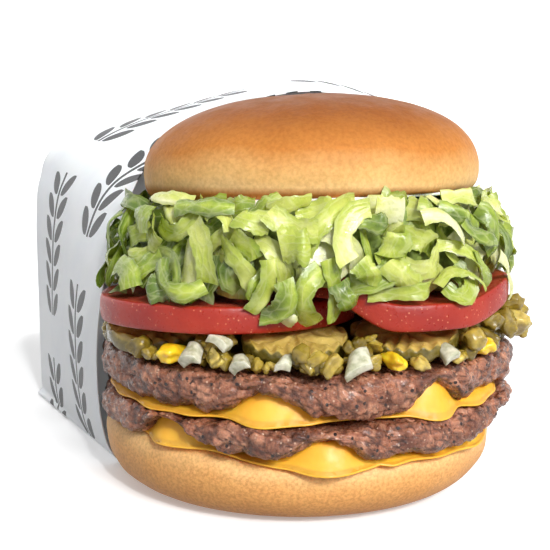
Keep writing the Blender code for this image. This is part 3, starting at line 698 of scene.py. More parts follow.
def patty_outline(bearing, share, arches, seed):
    """The uneven rim, drawn in under each arch and pressed in by the wrapper at the left."""
    x, y = polar(PATTY_RADIUS, bearing)
    drawn_in = sum(1.3 * bell(bearing, centre, width) for centre, width, _rise in arches)
    coarse = 1.0 * lumps((x, y, 7.0 * share), 17.0, seed)
    fine = 0.7 * lumps((x, y, 9.0 * share), 6.0, seed + 5.0)
    pressed = 1.5 * bell(bearing, -82.0, 12.0) - 1.6 * bell(bearing, -107.0, 14.0)
    return PATTY_RADIUS - 0.5 - pressed - drawn_in * (1.0 - share) + coarse + fine


def patty_low(radius, bearing, base, rim):
    return base + (rim(bearing) - base) * smooth(48.0, 56.0, radius)


GRANULE = 2.9


def meat_grain(point):
    """A warped place, so that the granules of ground meat aren't round."""
    return point + Vector((lumps(point, 4.0, 1.0), lumps(point, 4.0, 2.0), lumps(point, 4.0, 3.0))) * 1.5


def meat_relief(x, y, z, radius):
    """Granules of ground meat, some standing out, with crevices between. It fades inwards."""
    point = Vector((x, y, z))
    grain = meat_grain(point)
    distances, _points = noise.voronoi(grain / GRANULE)
    pebble = 0.62 * min(1.0, (distances[1] - distances[0]) * 2.2)
    crevice = max(0.0, 1.0 - 8.0 * abs(lumps(grain, 9.0, 6.0)))
    out = pebble + 0.4 * lumps(point, 1.5, 8.0) - 0.9 * crevice + 1.2 * lumps(point, 8.0, 5.0) - 0.4
    return out * smooth(44.0, 55.0, radius)


def mark_meat(mesh):
    """Gives each point its granule's own tone, and how deep it lies between the granules, where the finish
    paints shade.
    """
    tones, depths = [], []
    for vertex in mesh.vertices:
        distances, points = noise.voronoi(meat_grain(vertex.co / MM) / GRANULE)
        tones.append(0.5 + 0.5 * noise.cell(points[0] * 7.31))
        depths.append(min(1.0, (distances[1] - distances[0]) * 2.0))
    put_values(mesh, "tone", tones)
    put_values(mesh, "depth", depths)


PATTY_SEGMENTS = 420
CHEESE_SEGMENTS = 240


# Each patty: (base, top, height of its bottom edge, arches, seed of its rim)
PATTIES = {
    "lower": (LOWER_PATTY_BASE, LOWER_PATTY_TOP, lower_rim, LOWER_ARCHES, 3.0),
    "upper": (UPPER_PATTY_BASE, UPPER_PATTY_TOP, upper_rim, UPPER_ARCHES, 11.0),
}
# Each slice of cheese: (outline, underside, arches)
SLICES = {
    "lower": (lower_cheese_outline, lower_cheese_low, LOWER_ARCHES),
    "upper": (upper_cheese_outline, upper_cheese_low, UPPER_ARCHES),
}


def patties_and_cheese():
    meat, cheese = meat_finish(), cheese_finish()
    under, over = (30.0, 44.0, 48.0, 51.0, 53.0, 55.0), (55.5, 54.0, 52.0, 49.0, 44.0, 34.0)
    places = rim_places(over, 3.6, 26, under)
    for name, (base, top, rim, arches, seed) in PATTIES.items():
        outline = partial(patty_outline, arches=arches, seed=seed)
        low = partial(patty_low, base=base, rim=rim)
        bm = layer(outline, low, level(top - 0.5), places, PATTY_SEGMENTS, meat_relief)
        to_metres(bm)
        mark_meat(add_piece(f"patty_{name}_grilled", bm, meat, "meat", f"patty_{name}").data)
    over = tuple(60.0 - 0.6 * step for step in range(24)) + (42.0, 30.0)
    places = rim_places(over, 0.7, 6, (30.0, 44.0, 50.0, 53.0))
    for name, (outline, low, arches) in SLICES.items():
        high = partial(cheese_high, low=low, outline=outline, arches=arches)
        bm = layer(outline, low, high, places, CHEESE_SEGMENTS)
        to_metres(bm)
        add_piece(f"cheese_{name}_melted", bm, cheese, "cheese", f"cheese_{name}", sharp=80.0)


# Tomato slices

TOMATO_LEFT = (-21.0, -17.5, 34.8)
TOMATO_RIGHT = (21.5, -19.5, 32.6)
TOMATO_ROUND_STEPS = 12


def left_tomato_base(x, _y):
    off = x - TOMATO_LEFT[0]
    return TOMATO_BASE - 0.0006 * off * off


def right_tomato_base(x, y):
    """It rides up over the end of the left slice, and its own right end is held up by relish."""
    centre_x, centre_y, radius = TOMATO_LEFT
    past = hypot(x - centre_x, y - centre_y) - radius
    over = (TOMATO_THICK + 0.6) * (1.0 - smooth(3.5, 20.0, past))
    return TOMATO_BASE + 0.5 + over + 4.4 * smooth(38.0, 56.0, x)


def tomato(name, place, base, finish):
    """A slice with a round skin edge and a slightly sunken cut face."""
    centre_x, centre_y, radius = place
    profile = [(0.0, 0.0), (0.4, 0.0), (0.7, 0.0), (0.86, 0.0), (0.93, 0.0)]
    for step in range(TOMATO_ROUND_STEPS + 1):
        angle = radians(-90.0 + 180.0 * step / TOMATO_ROUND_STEPS)
        profile.append((0.97 + 0.03 * max(0.0, cos(angle)) ** 0.5, 0.5 + 0.5 * sin(angle)))
    profile += [(0.93, 0.985), (0.9, 0.97), (0.86, 0.965)]
    profile += [(reach, 0.96) for reach in (0.8, 0.6, 0.3, 0.0)]
    bm, rings = ringed(120, len(profile) - 1)
    flesh = []
    for vertex, ring, bearing in rings:
        reach, share = profile[ring]
        lobed = radius * (1.0 + 0.012 * cos(radians(5.0 * bearing)))
        x, y = polar(lobed * reach, bearing)
        x, y = x + centre_x, y + centre_y
        uneven = 0.25 * lumps((x, y, 3.0 * share), 12.0, centre_x)
        height = base(x, y) + TOMATO_THICK * share + uneven * sin(pi * share)
        flesh.append(1.0 - smooth(0.95, 0.975, reach))
        vertex.co = Vector((x, y, height)) * MM
    obj = add_piece(f"{name}_slice", bm, finish, "tomato", name)
    put_values(obj.data, "flesh", flesh)
    return obj


# Pickles, onion and mustard

# (x, y, radius, tilt towards the front, tilt to the right, turn of the ridges), tilts in degrees.
PICKLES = {
    "pickle_left": (-38.5, -23.5, 15.5, 2.0, -2.0, 55.0),
    "pickle_middle": (-3.3, -42.2, 13.4, 3.0, 0.0, 4.0),
    "pickle_right": (25.0, -35.6, 14.0, 3.0, -1.0, -18.0),
}
PICKLE_THICK = 3.6
PICKLE_MIDDLE = 45.4
PICKLE_DROOP = 7.5
RIDGE_PITCH = 3.0
RIDGE_DEPTH = 0.55


def pickle(name, place, finish):
    centre_x, centre_y, radius, forward, sideways, turn = place
    rim = [(0.3, 0.0), (0.6, 0.0), (0.8, 0.0), (0.9, 0.0), (0.96, 0.02)]
    rim += [(0.99, 0.12), (1.0, 0.3), (1.0, 0.7), (0.99, 0.88)]
    rim += [(0.96, 0.98), (0.9, 1.0), (0.8, 1.0), (0.6, 1.0), (0.3, 1.0)]
    profile = [(0.0, 0.0), *rim, (0.0, 1.0)]
    spin = Matrix.Translation(Vector((centre_x, centre_y, PICKLE_MIDDLE)))
    spin @= rotation(PICKLE_DROOP, "X")
    spin @= rotation(turn, "Z") @ rotation(sideways, "Y")
    spin @= rotation(forward, "X")
    bm, rings = ringed(176, len(profile) - 1)
    peel = []
    for vertex, ring, bearing in rings:
        reach, share = profile[ring]
        x, y = polar(radius * reach * (1.0 + 0.02 * sin(radians(3.0 * bearing))), bearing)
        wave = RIDGE_DEPTH * sin(2.0 * pi * x / RIDGE_PITCH)
        peel.append(smooth(0.955, 0.985, reach))
        vertex.co = spin @ Vector((x, y, PICKLE_THICK * (share - 0.5) + wave)) * MM
    obj = add_piece(f"{name}_chip", bm, finish, "pickle", name)
    put_values(obj.data, "rim", peel)
    return obj


# (bearing, radius to the middle, height over the patty, length, width, thickness, lean in degrees)
ONIONS = {
    "onion_1": (-29.0, 58.6, 3.5, 6.4, 6.0, 3.0, 34.0),
    "onion_2": (-22.0, 56.8, 6.6, 5.4, 3.4, 2.4, 10.0),
    "onion_3": (-16.5, 58.8, 2.5, 6.2, 5.0, 2.6, 30.0),
    "onion_4": (-6.0, 58.4, 2.9, 4.0, 4.2, 2.2, 25.0),
    "onion_5": (11.0, 58.8, 3.0, 7.4, 5.6, 2.8, 32.0),
    "onion_6": (35.5, 58.6, 3.1, 4.8, 4.6, 2.4, 28.0),
}


def onion(name, place, finish):
    """A curved, skewed and slightly wedge-shaped dice of one onion layer, with crisp cut edges."""
    bearing, radius, over, length, width, thickness, lean = place
    height = UPPER_PATTY_TOP + over
    turn = rotation(bearing + 14.0 * sin(9.0 * over), "Z")
    place = Matrix.Translation(Vector((*polar(radius, bearing), height))) @ turn
    place @= rotation(lean, "X") @ Matrix.Rotation(0.6 * sin(5.0 * radius), 4, "Y")
    skew = 0.4 * sin(7.0 * over)
    bm = bmesh.new()
    bmesh.ops.create_cube(bm, size=1.0)
    bmesh.ops.subdivide_edges(bm, edges=bm.edges[:], cuts=7, use_grid_fill=True)
    for vertex in bm.verts:
        x, y, z = vertex.co
        rounding = (abs(2 * x) ** 14 + abs(2 * y) ** 14 + abs(2 * z) ** 14) ** (1.0 / 14.0)
        x, y, z = vertex.co / max(1.0, rounding)
        taper = 1.0 - 0.34 * (y + 0.5)
        bow = thickness * (0.3 - 1.5 * x * x)
        uneven = 0.3 * lumps((x * 9.0, y * 9.0, z * 9.0), 3.5, radius + bearing)
        point = Vector(((x * taper + skew * y) * length, y * width, z * thickness * taper + bow + uneven))
        vertex.co = place @ point * MM
    return add_piece(f"{name}_dice", bm, finish, "onion", name, sharp=50.0)


# (bearing, radius to the middle, half width, half depth, half height)
MUSTARDS = {
    "mustard_left": (-37.0, 56.4, 3.2, 3.6, 2.3),
    "mustard_middle": (21.0, 56.4, 2.5, 4.0, 2.1),
    "mustard_right": (51.5, 57.6, 2.8, 3.2, 2.2),
}
MUSTARD_FOOT = 0.86


def mustard(name, place, finish):
    bearing, radius, half_width, half_depth, half_height = place
    height = UPPER_PATTY_TOP + GAP + MUSTARD_FOOT * half_height
    turn = Matrix.Translation(Vector((*polar(radius, bearing), height))) @ rotation(bearing, "Z")
    bm = bmesh.new()
    bmesh.ops.create_uvsphere(bm, u_segments=36, v_segments=24, radius=1.0)
    for vertex in bm.verts:
        x, y, z = vertex.co * (1.0 + 0.45 * lumps(vertex.co, 0.8, bearing))
        z = max(z, -MUSTARD_FOOT)
        vertex.co = turn @ Vector((x * half_width, y * half_depth, z * half_height)) * MM
    return add_piece(f"{name}_dab", bm, finish, "mustard", name)


# Heaps


def tree_of(*objects):
    """Search trees of the pieces, for finding what a new one would touch."""
    trees = []
    for obj in objects:
        bm = bmesh.new()
        bm.from_mesh(obj.data)
        trees.append(BVHTree.FromBMesh(bm))
        bm.free()
    return trees


def is_clear(bm, trees, near=0.12):
    own = BVHTree.FromBMesh(bm)
    for tree in trees:
        if own.overlap(tree):
            return False
        if any(tree.find_nearest(vertex.co)[3] < near * MM for vertex in bm.verts):
            return False
    return True


def pour(bm, into):
    """Adds one small mesh to a larger one."""
    scrap = bpy.data.meshes.new("scrap")
    bm.to_mesh(scrap)
    into.from_mesh(scrap)
    bpy.data.meshes.remove(scrap)


# Relish

# Pieces that hang over the patty's edge: (bearing, radius, height over the patty, size)
RELISH_HANGING = (
    (-70.0, 56.0, 3.0, 3.2), (-62.0, 57.0, 3.2, 3.4), (-55.0, 58.0, 3.0, 3.2), (-45.0, 58.6, 3.0, 3.0),
    (-49.0, 57.2, 5.6, 2.8), (-24.0, 59.0, 2.6, 2.6), (-11.5, 58.2, 3.4, 3.0), (-2.0, 57.2, 5.0, 2.6),
    (1.0, 59.0, 3.6, 3.4), (4.6, 59.8, 2.4, 3.0), (16.0, 58.4, 3.4, 2.8), (25.5, 59.0, 3.6, 3.4),
    (30.4, 59.0, 2.8, 2.7), (41.0, 58.4, 3.6, 3.4), (45.5, 58.0, 5.6, 3.0), (57.5, 57.6, 3.6, 3.2),
    (60.5, 57.6, 7.6, 3.4), (58.0, 55.6, 11.4, 3.0), (66.0, 60.0, 6.6, 3.6), (71.0, 61.8, 5.6, 3.6),
    (76.0, 62.2, 8.0, 3.0), (80.0, 60.6, 5.0, 3.6), (72.0, 60.4, 10.4, 3.0), (75.0, 63.0, 4.2, 2.8),
    (88.0, 59.4, 4.0, 3.4), (98.0, 57.6, 3.4, 3.2), (84.0, 57.6, 8.4, 3.2),
)
RELISH_SMALL = 230
UNDER_PICKLES = ((-47.0, 20.0), (-3.0, 13.0), (34.0, 10.0))


def relish_outline(bearing, share):
    x, y = polar(50.0, bearing)
    side = smooth(52.0, 70.0, bearing) * (1.0 - smooth(96.0, 120.0, bearing))
    return 53.0 + 4.0 * side + 1.2 * lumps((x, y, 5.0 * share), 9.0, 21.0)


def relish_high(radius, bearing):
    """The heap carries the tomato, falls to a thin edge, and is pressed down where a pickle lies."""
    x, y = polar(radius, bearing)
    height = RELISH_TOP - 2.4 * smooth(46.0, 52.0, radius)
    for centre_x, centre_y, reach, *_ in PICKLES.values():
        away = hypot(x - centre_x, y - centre_y)
        pressed = 1.0 - smooth(reach + 3.0, reach + 6.0, away)
        height = min(height, height + (PICKLE_MIDDLE - PICKLE_THICK - 0.6 - height) * pressed)
    return height


def chunk(place, size, turn, chosen):
    """A knife-cut bit of pickle: a rough, soft-edged block."""
    stretch = Vector((chosen.uniform(0.8, 1.2), chosen.uniform(0.7, 1.2), chosen.uniform(0.5, 0.95)))
    tip = Matrix.Rotation(turn, 3, "Z") @ Matrix.Rotation(chosen.uniform(-0.9, 0.9), 3, "X")
    tip = tip @ Matrix.Rotation(chosen.uniform(-0.9, 0.9), 3, "Y")
    seed = chosen.uniform(0.0, 90.0)
    bm = bmesh.new()
    bmesh.ops.create_cube(bm, size=2.0)
    bmesh.ops.subdivide_edges(bm, edges=bm.edges[:], cuts=5, use_grid_fill=True)
    for vertex in bm.verts:
        point = vertex.co
        square = (abs(point.x) ** 3 + abs(point.y) ** 3 + abs(point.z) ** 3) ** (1.0 / 3.0)
        rough = 0.4 * lumps(point, 1.2, seed) + 0.16 * lumps(point, 0.5, seed)
        point = point / square * (1.0 + rough)
        vertex.co = (Vector(place) + tip @ (point * size * stretch)) * MM
    return bm


def relish_places(chosen):
    """Chunks as (bearing, radius, height over the patty, size): the ones that hang out, then small ones."""
    for bearing, radius, over, size in RELISH_HANGING:
        yield bearing, radius, over, 0.95 * size
    for index in range(RELISH_SMALL):
        bearing = -104.0 + 212.0 * ((index * 0.7548777) % 1.0)
        under = any(bell(bearing, centre, width) > 0.5 for centre, width in UNDER_PICKLES)
        over = chosen.uniform(0.5, 1.4 if under else 6.6)
        yield bearing, 58.4 - 0.8 * over + chosen.uniform(-2.0, 0.8), over, chosen.uniform(1.1, 2.7)


def relish(finish, neighbours):
    def rough(x, y, z, radius):
        return 0.5 * lumps((x, y, z), 3.0, 2.0) * smooth(30.0, 50.0, radius)

    places = rim_places((50.0, 46.0, 40.0, 30.0, 18.0), 2.4, 8)
    heap = layer(relish_outline, level(UPPER_PATTY_TOP + GAP), relish_high, places, 150, rough)
    to_metres(heap)
    tones = [0.25 + 0.3 * lumps(vertex.co / MM, 3.0, 5.0) for vertex in heap.verts]
    chosen = random.Random(8)
    for bearing, radius, over, size in relish_places(chosen):
        height = UPPER_PATTY_TOP + max(over, GAP + 0.75 * size)
        for out in (-1.0, 0.8, -2.8):
            bm = chunk((*polar(radius + out, bearing), height), size, radians(bearing), chosen)
            if is_clear(bm, neighbours):
                tone = chosen.choice((0.15, 0.3, 0.45, 0.6, 0.75, 0.95))
                tones += [tone + 0.1 * lumps(vertex.co / MM, 1.5, 1.0) for vertex in bm.verts]
                pour(bm, heap)
                bm.free()
                break
            bm.free()
    obj = add_piece("relish_chopped", heap, finish, "relish", "relish")
    put_values(obj.data, "tone", tones)
    return obj


# Lettuce

SHREDS = 2400
SHRED_TRIES = 3
SHRED_THICK = 0.27
SHRED_STEPS = 12
SHRED_SIDES = 8
SHRED_CROSSINGS = 8
PUSH = 0.7
PUSHES = 11
STANDS_OUT = 2.7
STARTS_IN = 5.0
HANGING_SHARE = 0.22
HANGING_IN = 1.6
HANGING_LOW = 49.8
LETTUCE_LOW = 54.9
# How much darker the strips at the left are painted, as the shade the wrapper casts there.
SHADED = 0.6

# Ranges of length, width, curl in degrees and lift. A chip is short and flat, a ribbon long and curled.
CHIP_SHARE = 0.28
CHIP = ((6.0, 11.0), (5.0, 8.8), (-50.0, 50.0), (0.2, 2.0))
RIBBON = ((11.0, 21.0), (3.6, 6.6), (-140.0, 140.0), (0.2, 4.0))


def lettuce_reach(bearing, height):
    """Radius of the bulging face of the heap. The wrapper holds it in at the left and behind."""
    share = (height - LETTUCE_BASE) / (LETTUCE_TOP - LETTUCE_BASE)
    bulge = sin(pi * min(1.0, max(0.0, 0.2 + 0.66 * share)))
    held = bell(bearing, -96.0, 18.0) * (0.4 + 2.2 * smooth(0.3, 1.0, share))
    held += 3.4 * smooth(100.0, 130.0, abs(bearing))
    reach = 50.0 + 5.6 * bulge + 3.0 * bell(bearing, 74.0, 34.0) * bulge - held
    skirt = max(0.0, tomato_reach(bearing) - 0.8 - reach)
    return reach + skirt * (1.0 - smooth(57.5, 68.0, height))


def tomato_reach(bearing):
    """How far from the middle the edge of the tomato slices lies."""
    ahead = Vector(polar(1.0, bearing))
    reach = 0.0
    for centre_x, centre_y, radius in (TOMATO_LEFT, TOMATO_RIGHT):
        centre = Vector((centre_x, centre_y))
        along = centre.dot(ahead)
        inside = radius**2 - centre.length_squared + along**2
        reach = max(reach, along + sqrt(max(0.0, inside)))
    return reach


def shred_grid():
    """A closed strip to be shaped, and the (share of length, side from -1 to 1, face) of each vertex."""
    bm, rings = ringed(SHRED_SIDES, SHRED_STEPS + 2)
    places = []
    for vertex, ring, _bearing in rings:
        along = min(1.0, max(0.0, (ring - 1) / SHRED_STEPS))
        flat = Vector((vertex.co.x, vertex.co.y))
        side, face = flat.normalized() if flat.length > 0.001 else (0.0, 0.0)
        places.append((along, side, face))
    return bm, places


class Shred:
    """A cut strip of leaf. It lies along the face of the heap, rolls over its length and cups across."""

    def __init__(self, chosen, bearing, height, slope, roll, depth):
        self.bearing = bearing
        ranges = CHIP if chosen.random() < CHIP_SHARE else RIBBON
        self.length, width, self.curl, self.lift = (chosen.uniform(*span) for span in ranges)
        self.half = 0.5 * width
        self.roll = roll + chosen.uniform(-30.0, 30.0)
        self.roll_more = chosen.uniform(-60.0, 60.0)
        self.cup = chosen.choice((-1.0, 1.0)) * chosen.uniform(0.06, 0.6)
        self.wave = chosen.uniform(0.2, 1.1)
        self.phase = chosen.uniform(0.0, 6.28)
        self.seed = chosen.uniform(0.0, 99.0)
        self.ruffle = chosen.uniform(0.05, 0.6)
        self.tone = chosen.choice((0.06, 0.26, 0.36, 0.44, 0.5, 0.58, 0.7, 0.9))
        # Painted shade: strips at the left get a darker tone, where the wrapper shades them.
        self.tone += SHADED * smooth(15.0, 65.0, -bearing)
        self.drift = chosen.uniform(-0.3, 0.3)
        self.rib = chosen.choice((-9.0, -0.7, -0.2, 0.1, 0.5, 9.0))
        self.path = self.lay(height, slope, depth)

    def lay(self, height, slope, depth):
        bearing = self.bearing
        path = []
        for step in range(SHRED_STEPS + 1):
            along = step / SHRED_STEPS
            heading = radians(slope + self.curl * (along - 0.4))
            reach = lettuce_reach(bearing, height)
            out = self.lift * sin(pi * along) + self.wave * sin(6.0 * along + self.phase)
            path.append(Vector((*polar(reach + out - depth, bearing), height)))
            height += self.length / SHRED_STEPS * sin(heading)
            bearing += degrees(self.length / SHRED_STEPS * cos(heading) / reach)
        return path

    def frames(self):
        """The middle, the side direction and the face direction at each step."""
        found = []
        for step, centre in enumerate(self.path):
            ahead, behind = self.path[min(step + 1, SHRED_STEPS)], self.path[max(step - 1, 0)]
            forward = (ahead - behind).normalized()
            outward = Vector((centre.x, centre.y, 0.0)).normalized()
            sideways = forward.cross(outward).normalized()
            upward = sideways.cross(forward)
            angle = radians(self.roll + self.roll_more * step / SHRED_STEPS)
            across = sideways * cos(angle) + upward * sin(angle)
            face = upward * cos(angle) - sideways * sin(angle)
            found.append((centre, across, face))
        return found

    def build(self, grid, places):
        """The shaped strip, and its vertices' places on the leaf and tones."""
        frames = self.frames()
        bm = grid.copy()
        marks, tones = [], []
        for vertex, (along, side, thick) in zip(bm.verts, places):
            centre, across, face = frames[round(along * SHRED_STEPS)]
            bend = self.cup * side
            straight, raised = sin(bend) / self.cup, (1.0 - cos(bend)) / self.cup
            cut = 1.0 + 0.12 * sin(9.0 * along + self.seed) + 0.08 * sin(27.0 * along + self.phase)
            ruffle = self.ruffle * sin(10.0 * along + 2.0 * side + self.phase) * side * side
            rib = exp(-(((side - self.rib) / 0.28) ** 2))
            point = centre + across * (self.half * cut * straight)
            point += face * (self.half * raised + ruffle + 0.4 * lumps(point, 4.0, self.seed))
            point += face * (SHRED_THICK * thick * (0.5 + 0.9 * rib))
            vertex.co = point * MM
            mark = (self.length * along + 7.0 * self.seed, self.half * side, self.seed)
            marks.append(tuple(part * MM for part in mark))
            tones.append(self.tone + self.drift * (along - 0.5) - 0.3 * rib + 0.12 * side * side)
        return bm, marks, tones


def settle(bm, bearing, fixed, laid):
    """Pushes a shred outwards until it lies on the others. Gives its search tree, or None."""
    middle = sum((vertex.co for vertex in bm.verts), Vector()) / len(bm.verts)
    reach = max((vertex.co - middle).length for vertex in bm.verts)
    near = [tree for centre, radius, tree in laid if (centre - middle).length < radius + reach]
    step = Vector((*polar(PUSH, bearing), 0.0)) * MM
    for _push in range(PUSHES):
        own = BVHTree.FromBMesh(bm)
        if not any(own.overlap(tree) for tree in fixed):
            if sum(len(own.overlap(tree)) for tree in near) <= SHRED_CROSSINGS:
                return (middle, reach, own) if stands_out(bm) < STANDS_OUT else None
        bmesh.ops.translate(bm, vec=step, verts=bm.verts[:])
        middle += step
    return None


def stands_out(bm):
    """How far the shred reaches past the face of the heap."""
    places = [vertex.co / MM for vertex in bm.verts]
    return max(hypot(at.x, at.y) - lettuce_reach(bearing_of(at.x, at.y), at.z) for at in places)


def shred_places(chosen):
    """Where shreds start: (bearing, height, slope of the path, roll, depth, lowest height allowed)."""
    for index in range(SHREDS):
        bearing = -108.0 + 232.0 * ((index * 0.6180339) % 1.0)
        hangs = chosen.random() < HANGING_SHARE
        kind = chosen.random()
        roll, depth, lowest = 0.0, STARTS_IN, LETTUCE_LOW
        if hangs:
            depth, lowest = HANGING_IN, HANGING_LOW
            height, slope = chosen.uniform(57.0, 68.0), chosen.uniform(-120.0, -60.0)
        elif kind < 0.25:
            roll = 10.0
            slope = chosen.choice((0.0, 180.0)) + chosen.uniform(-25.0, 25.0)
            height = chosen.uniform(76.0, 81.0)
        elif kind < 0.5:
            roll = -20.0
            height, slope = chosen.uniform(56.5, 62.0), chosen.uniform(-25.0, 205.0)
        else:
            height, slope = chosen.uniform(57.0, 81.0), chosen.uniform(-180.0, 180.0)
        yield bearing, height, slope, roll, depth, lowest


def lettuce_core():
    def outline(bearing, share):
        return lettuce_reach(bearing, 62.0 + 15.0 * share) - 6.5 + 2.2 * smooth(0.6, 1.0, share)

    def low(radius, _bearing):
        return LETTUCE_BASE + 1.2 + 6.8 * smooth(52.0, 40.0, radius)

    def high(radius, bearing):
        return crown_base(polar(radius, bearing)[0]) - 2.0 - 0.8 * smooth(44.0, 54.0, radius)

    def rough(x, y, z, radius):
        return 1.2 * lumps((x, y, z), 6.0, 4.0) * smooth(30.0, 46.0, radius)

    places = rim_places((46.0, 36.0, 20.0), 2.0, 12, (20.0, 36.0, 46.0))
    core = layer(outline, low, high, places, 120, rough)
    to_metres(core)
    add_piece("lettuce_core", core, core_finish(), "lettuce", "lettuce")


def lettuce(neighbours):
    """Lays shred after shred on the core, and leaves out those that find no place."""
    grid, places = shred_grid()
    chosen = random.Random(31)
    heap, laid = bmesh.new(), []
    marks, tones = [], []
    for bearing, height, slope, roll, depth, lowest in shred_places(chosen):
        highest = CROWN_BASE + (3.4 if bearing > 20.0 else 2.0)
        for _try in range(SHRED_TRIES):
            shred = Shred(chosen, bearing, height, slope, roll, depth)
            bm, own_marks, own_tones = shred.build(grid, places)
            heights = [vertex.co.z / MM for vertex in bm.verts]
            fits = max(heights) < highest and min(heights) > lowest
            placed = settle(bm, bearing, neighbours, laid) if fits else None
            if placed:
                laid.append(placed)
                marks += own_marks
                tones += own_tones
                pour(bm, heap)
            bm.free()
            if placed:
                break
    obj = add_piece("lettuce_shreds", heap, leaf_finish(), "lettuce", "lettuce", sharp=40.0)
    put_values(obj.data, "tone", tones)
    put_values(obj.data, "leaf", marks)


# Mayonnaise


# Where it bulges down under the crown: (bearing, half width in degrees, share of the full drip)
MAYONNAISE_DRIPS = ((-20.0, 5.0, 1.0), (9.0, 4.0, 0.7), (60.0, 4.0, 0.8))


def mayonnaise(finish):
    def outline(bearing, _share):
        patches = bell(bearing, -22.0, 14.0) + bell(bearing, 62.0, 16.0) + 0.6 * bell(bearing, 8.0, 8.0)
        return 44.6 + 2.0 * patches + 0.5 * sin(radians(17.0 * bearing))

    def high(radius, bearing):
        return crown_base(polar(radius, bearing)[0] + CROWN_CENTRE[0]) + 0.1

    def low(radius, bearing):
        drip = max(size * bell(bearing, at, width) for at, width, size in MAYONNAISE_DRIPS)
        return high(radius, bearing) - 0.9 - 0.9 * drip * smooth(42.0, 46.0, radius)

    bm = layer(outline, low, high, rim_places((40.0, 20.0), 0.6, 8, (20.0, 40.0)), 180)
    bmesh.ops.translate(bm, vec=(CROWN_CENTRE[0], 0.5 * CROWN_CENTRE[1], 0.0), verts=bm.verts[:])
    to_metres(bm)
    return add_piece("mayonnaise_spread", bm, finish, "mayonnaise", "mayonnaise")


# Wrapper: one sheet folded into a pocket

# Matching points (x, y, z) of the open front edge and of the back edge, from the middle of the bottom to
# the left, up, over the top, down the right side and back along the bottom.
WRAP_FRONT = (
    (0.0, -36.0, 0.0), (-33.0, -27.0, 0.0), (-52.8, -4.0, 0.0), (-56.8, -5.0, 4.0), (-58.8, -6.5, 11.0),
    (-59.8, -8.0, 22.0), (-59.8, -8.0, 36.0), (-58.7, -7.0, 48.0), (-56.4, -4.5, 62.0), (-51.6, 0.0, 77.0),
    (-47.0, 16.0, 89.0), (-35.5, 25.0, 101.0), (2.0, 25.0, 111.0), (36.5, 29.0, 102.0), (49.6, 26.0, 89.0),
    (54.5, 23.0, 78.0), (59.5, 22.0, 62.0), (60.5, 22.0, 36.0), (57.0, 21.0, 12.0), (50.0, 20.0, 0.0),
    (34.0, -10.0, 0.0),
)
WRAP_BACK_Y = 74.0
WRAP_BACK = tuple((x, WRAP_BACK_Y, z) for x, z in (
    (-15.0, 0.0), (-60.0, 0.0), (-95.5, 0.0), (-97.0, 4.0), (-97.2, 12.0), (-97.2, 24.0), (-97.2, 40.0),
    (-97.2, 54.0), (-97.0, 68.0), (-95.4, 82.0), (-88.0, 95.0), (-56.0, 105.6), (0.0, 117.5),
    (36.0, 108.0), (52.0, 97.0), (61.0, 82.0), (62.5, 62.0), (62.5, 36.0), (62.0, 12.0), (58.0, 0.0),
    (30.0, 0.0),
))

# The back is closed by two flaps that overlap: (height of its edge, bulge).
SEAM_Z = 46.0
UPPER_FLAP = (37.0, 3.4)
LOWER_FLAP = (50.0, 2.6)
FLAP_LEFT = -62.0
FLAP_RIGHT = 34.0
WRAP_ARCH = 1.8
AROUND_STEPS = 252
PAPER_SHOWN = 0.3
BACK_PRINT = 219.0


def loop_point(points, share):
    """A point of the closed, smooth line through the points, which stays on the table where they do."""
    count = len(points)
    place = share * count
    index = int(place)
    part = place - index
    before, start, end, after = (Vector(points[(index + step) % count]) for step in (-1, 0, 1, 2))
    if start.z == 0.0 and end.z == 0.0:
        return start.lerp(end, part)
    square, cube = part * part, part * part * part
    found = 0.5 * (
        2.0 * start
        + (end - before) * part
        + (2.0 * before - 5.0 * start + 4.0 * end - after) * square
        + (3.0 * start - before - 3.0 * end + after) * cube
    )
    found.z = max(found.z, 0.0)
    return found


def wrapper_point(along, around):
    """along runs from 0 at the open front edge to 1 at the back edge, then to 2 across the back."""
    front, back = loop_point(WRAP_FRONT, around), loop_point(WRAP_BACK, around)
    side = min(along, 1.0)
    point = front.lerp(back, side)
    point.z += WRAP_ARCH * sin(pi * side) * smooth(70.0, 100.0, point.z)
    if along > 1.0:
        inward = along - 1.0
        edge_z, bulge = UPPER_FLAP if back.z > SEAM_Z else LOWER_FLAP
        edge = Vector((max(FLAP_LEFT, min(FLAP_RIGHT, back.x)), back.y, edge_z))
        point = back.lerp(edge, inward)
        point.y = back.y + bulge * sin(0.5 * pi * min(1.0, 2.5 * inward))
    if point.z < 0.02:
        point.z = 0.0
    return point


def wrapper():
    rows = [0.0, 0.01]
    rows += [step / 44.0 for step in range(1, 44)]
    rows += [0.99, 1.0, 1.001, 1.02, 1.05, 1.08, 1.12, 1.2, 1.3, 1.4, 1.5, 1.6, 1.7, 1.8, 1.9, 2.0]
    last_row = len(rows) - 1
    lengths = print_places()
    bm = bmesh.new()
    bmesh.ops.create_grid(bm, x_segments=AROUND_STEPS, y_segments=last_row, size=0.5)
    prints = []
    for vertex in bm.verts:
        column = round((vertex.co.x + 0.5) * AROUND_STEPS)
        along = rows[round((vertex.co.y + 0.5) * last_row)]
        point = wrapper_point(along, (column % AROUND_STEPS) / AROUND_STEPS)
        if along > 1.0:
            prints.append((BACK_PRINT - point.x, point.z, 0.0))
        else:
            prints.append((point.y, lengths[column], 0.0))
        loose = smooth(0.0, 0.12, along) * (1.0 - smooth(0.9, 1.0, along)) * smooth(1.0, 12.0, point.z)
        point += Vector((0.5, 0.0, 0.3)) * lumps(point, 30.0, 2.0) * loose
        vertex.co = point * MM
    obj = add_piece("wrapper_paper", bm, paper_finish(), "paper", "wrapper", sharp=50.0)
    obj.data.materials.append(lining_finish())
    put_values(obj.data, "print", prints)
    sheet = obj.modifiers.new("Sheet", "SOLIDIFY")
    sheet.thickness = PAPER_SHOWN * MM
    sheet.offset = 0.0
    sheet.material_offset = 1
    return obj


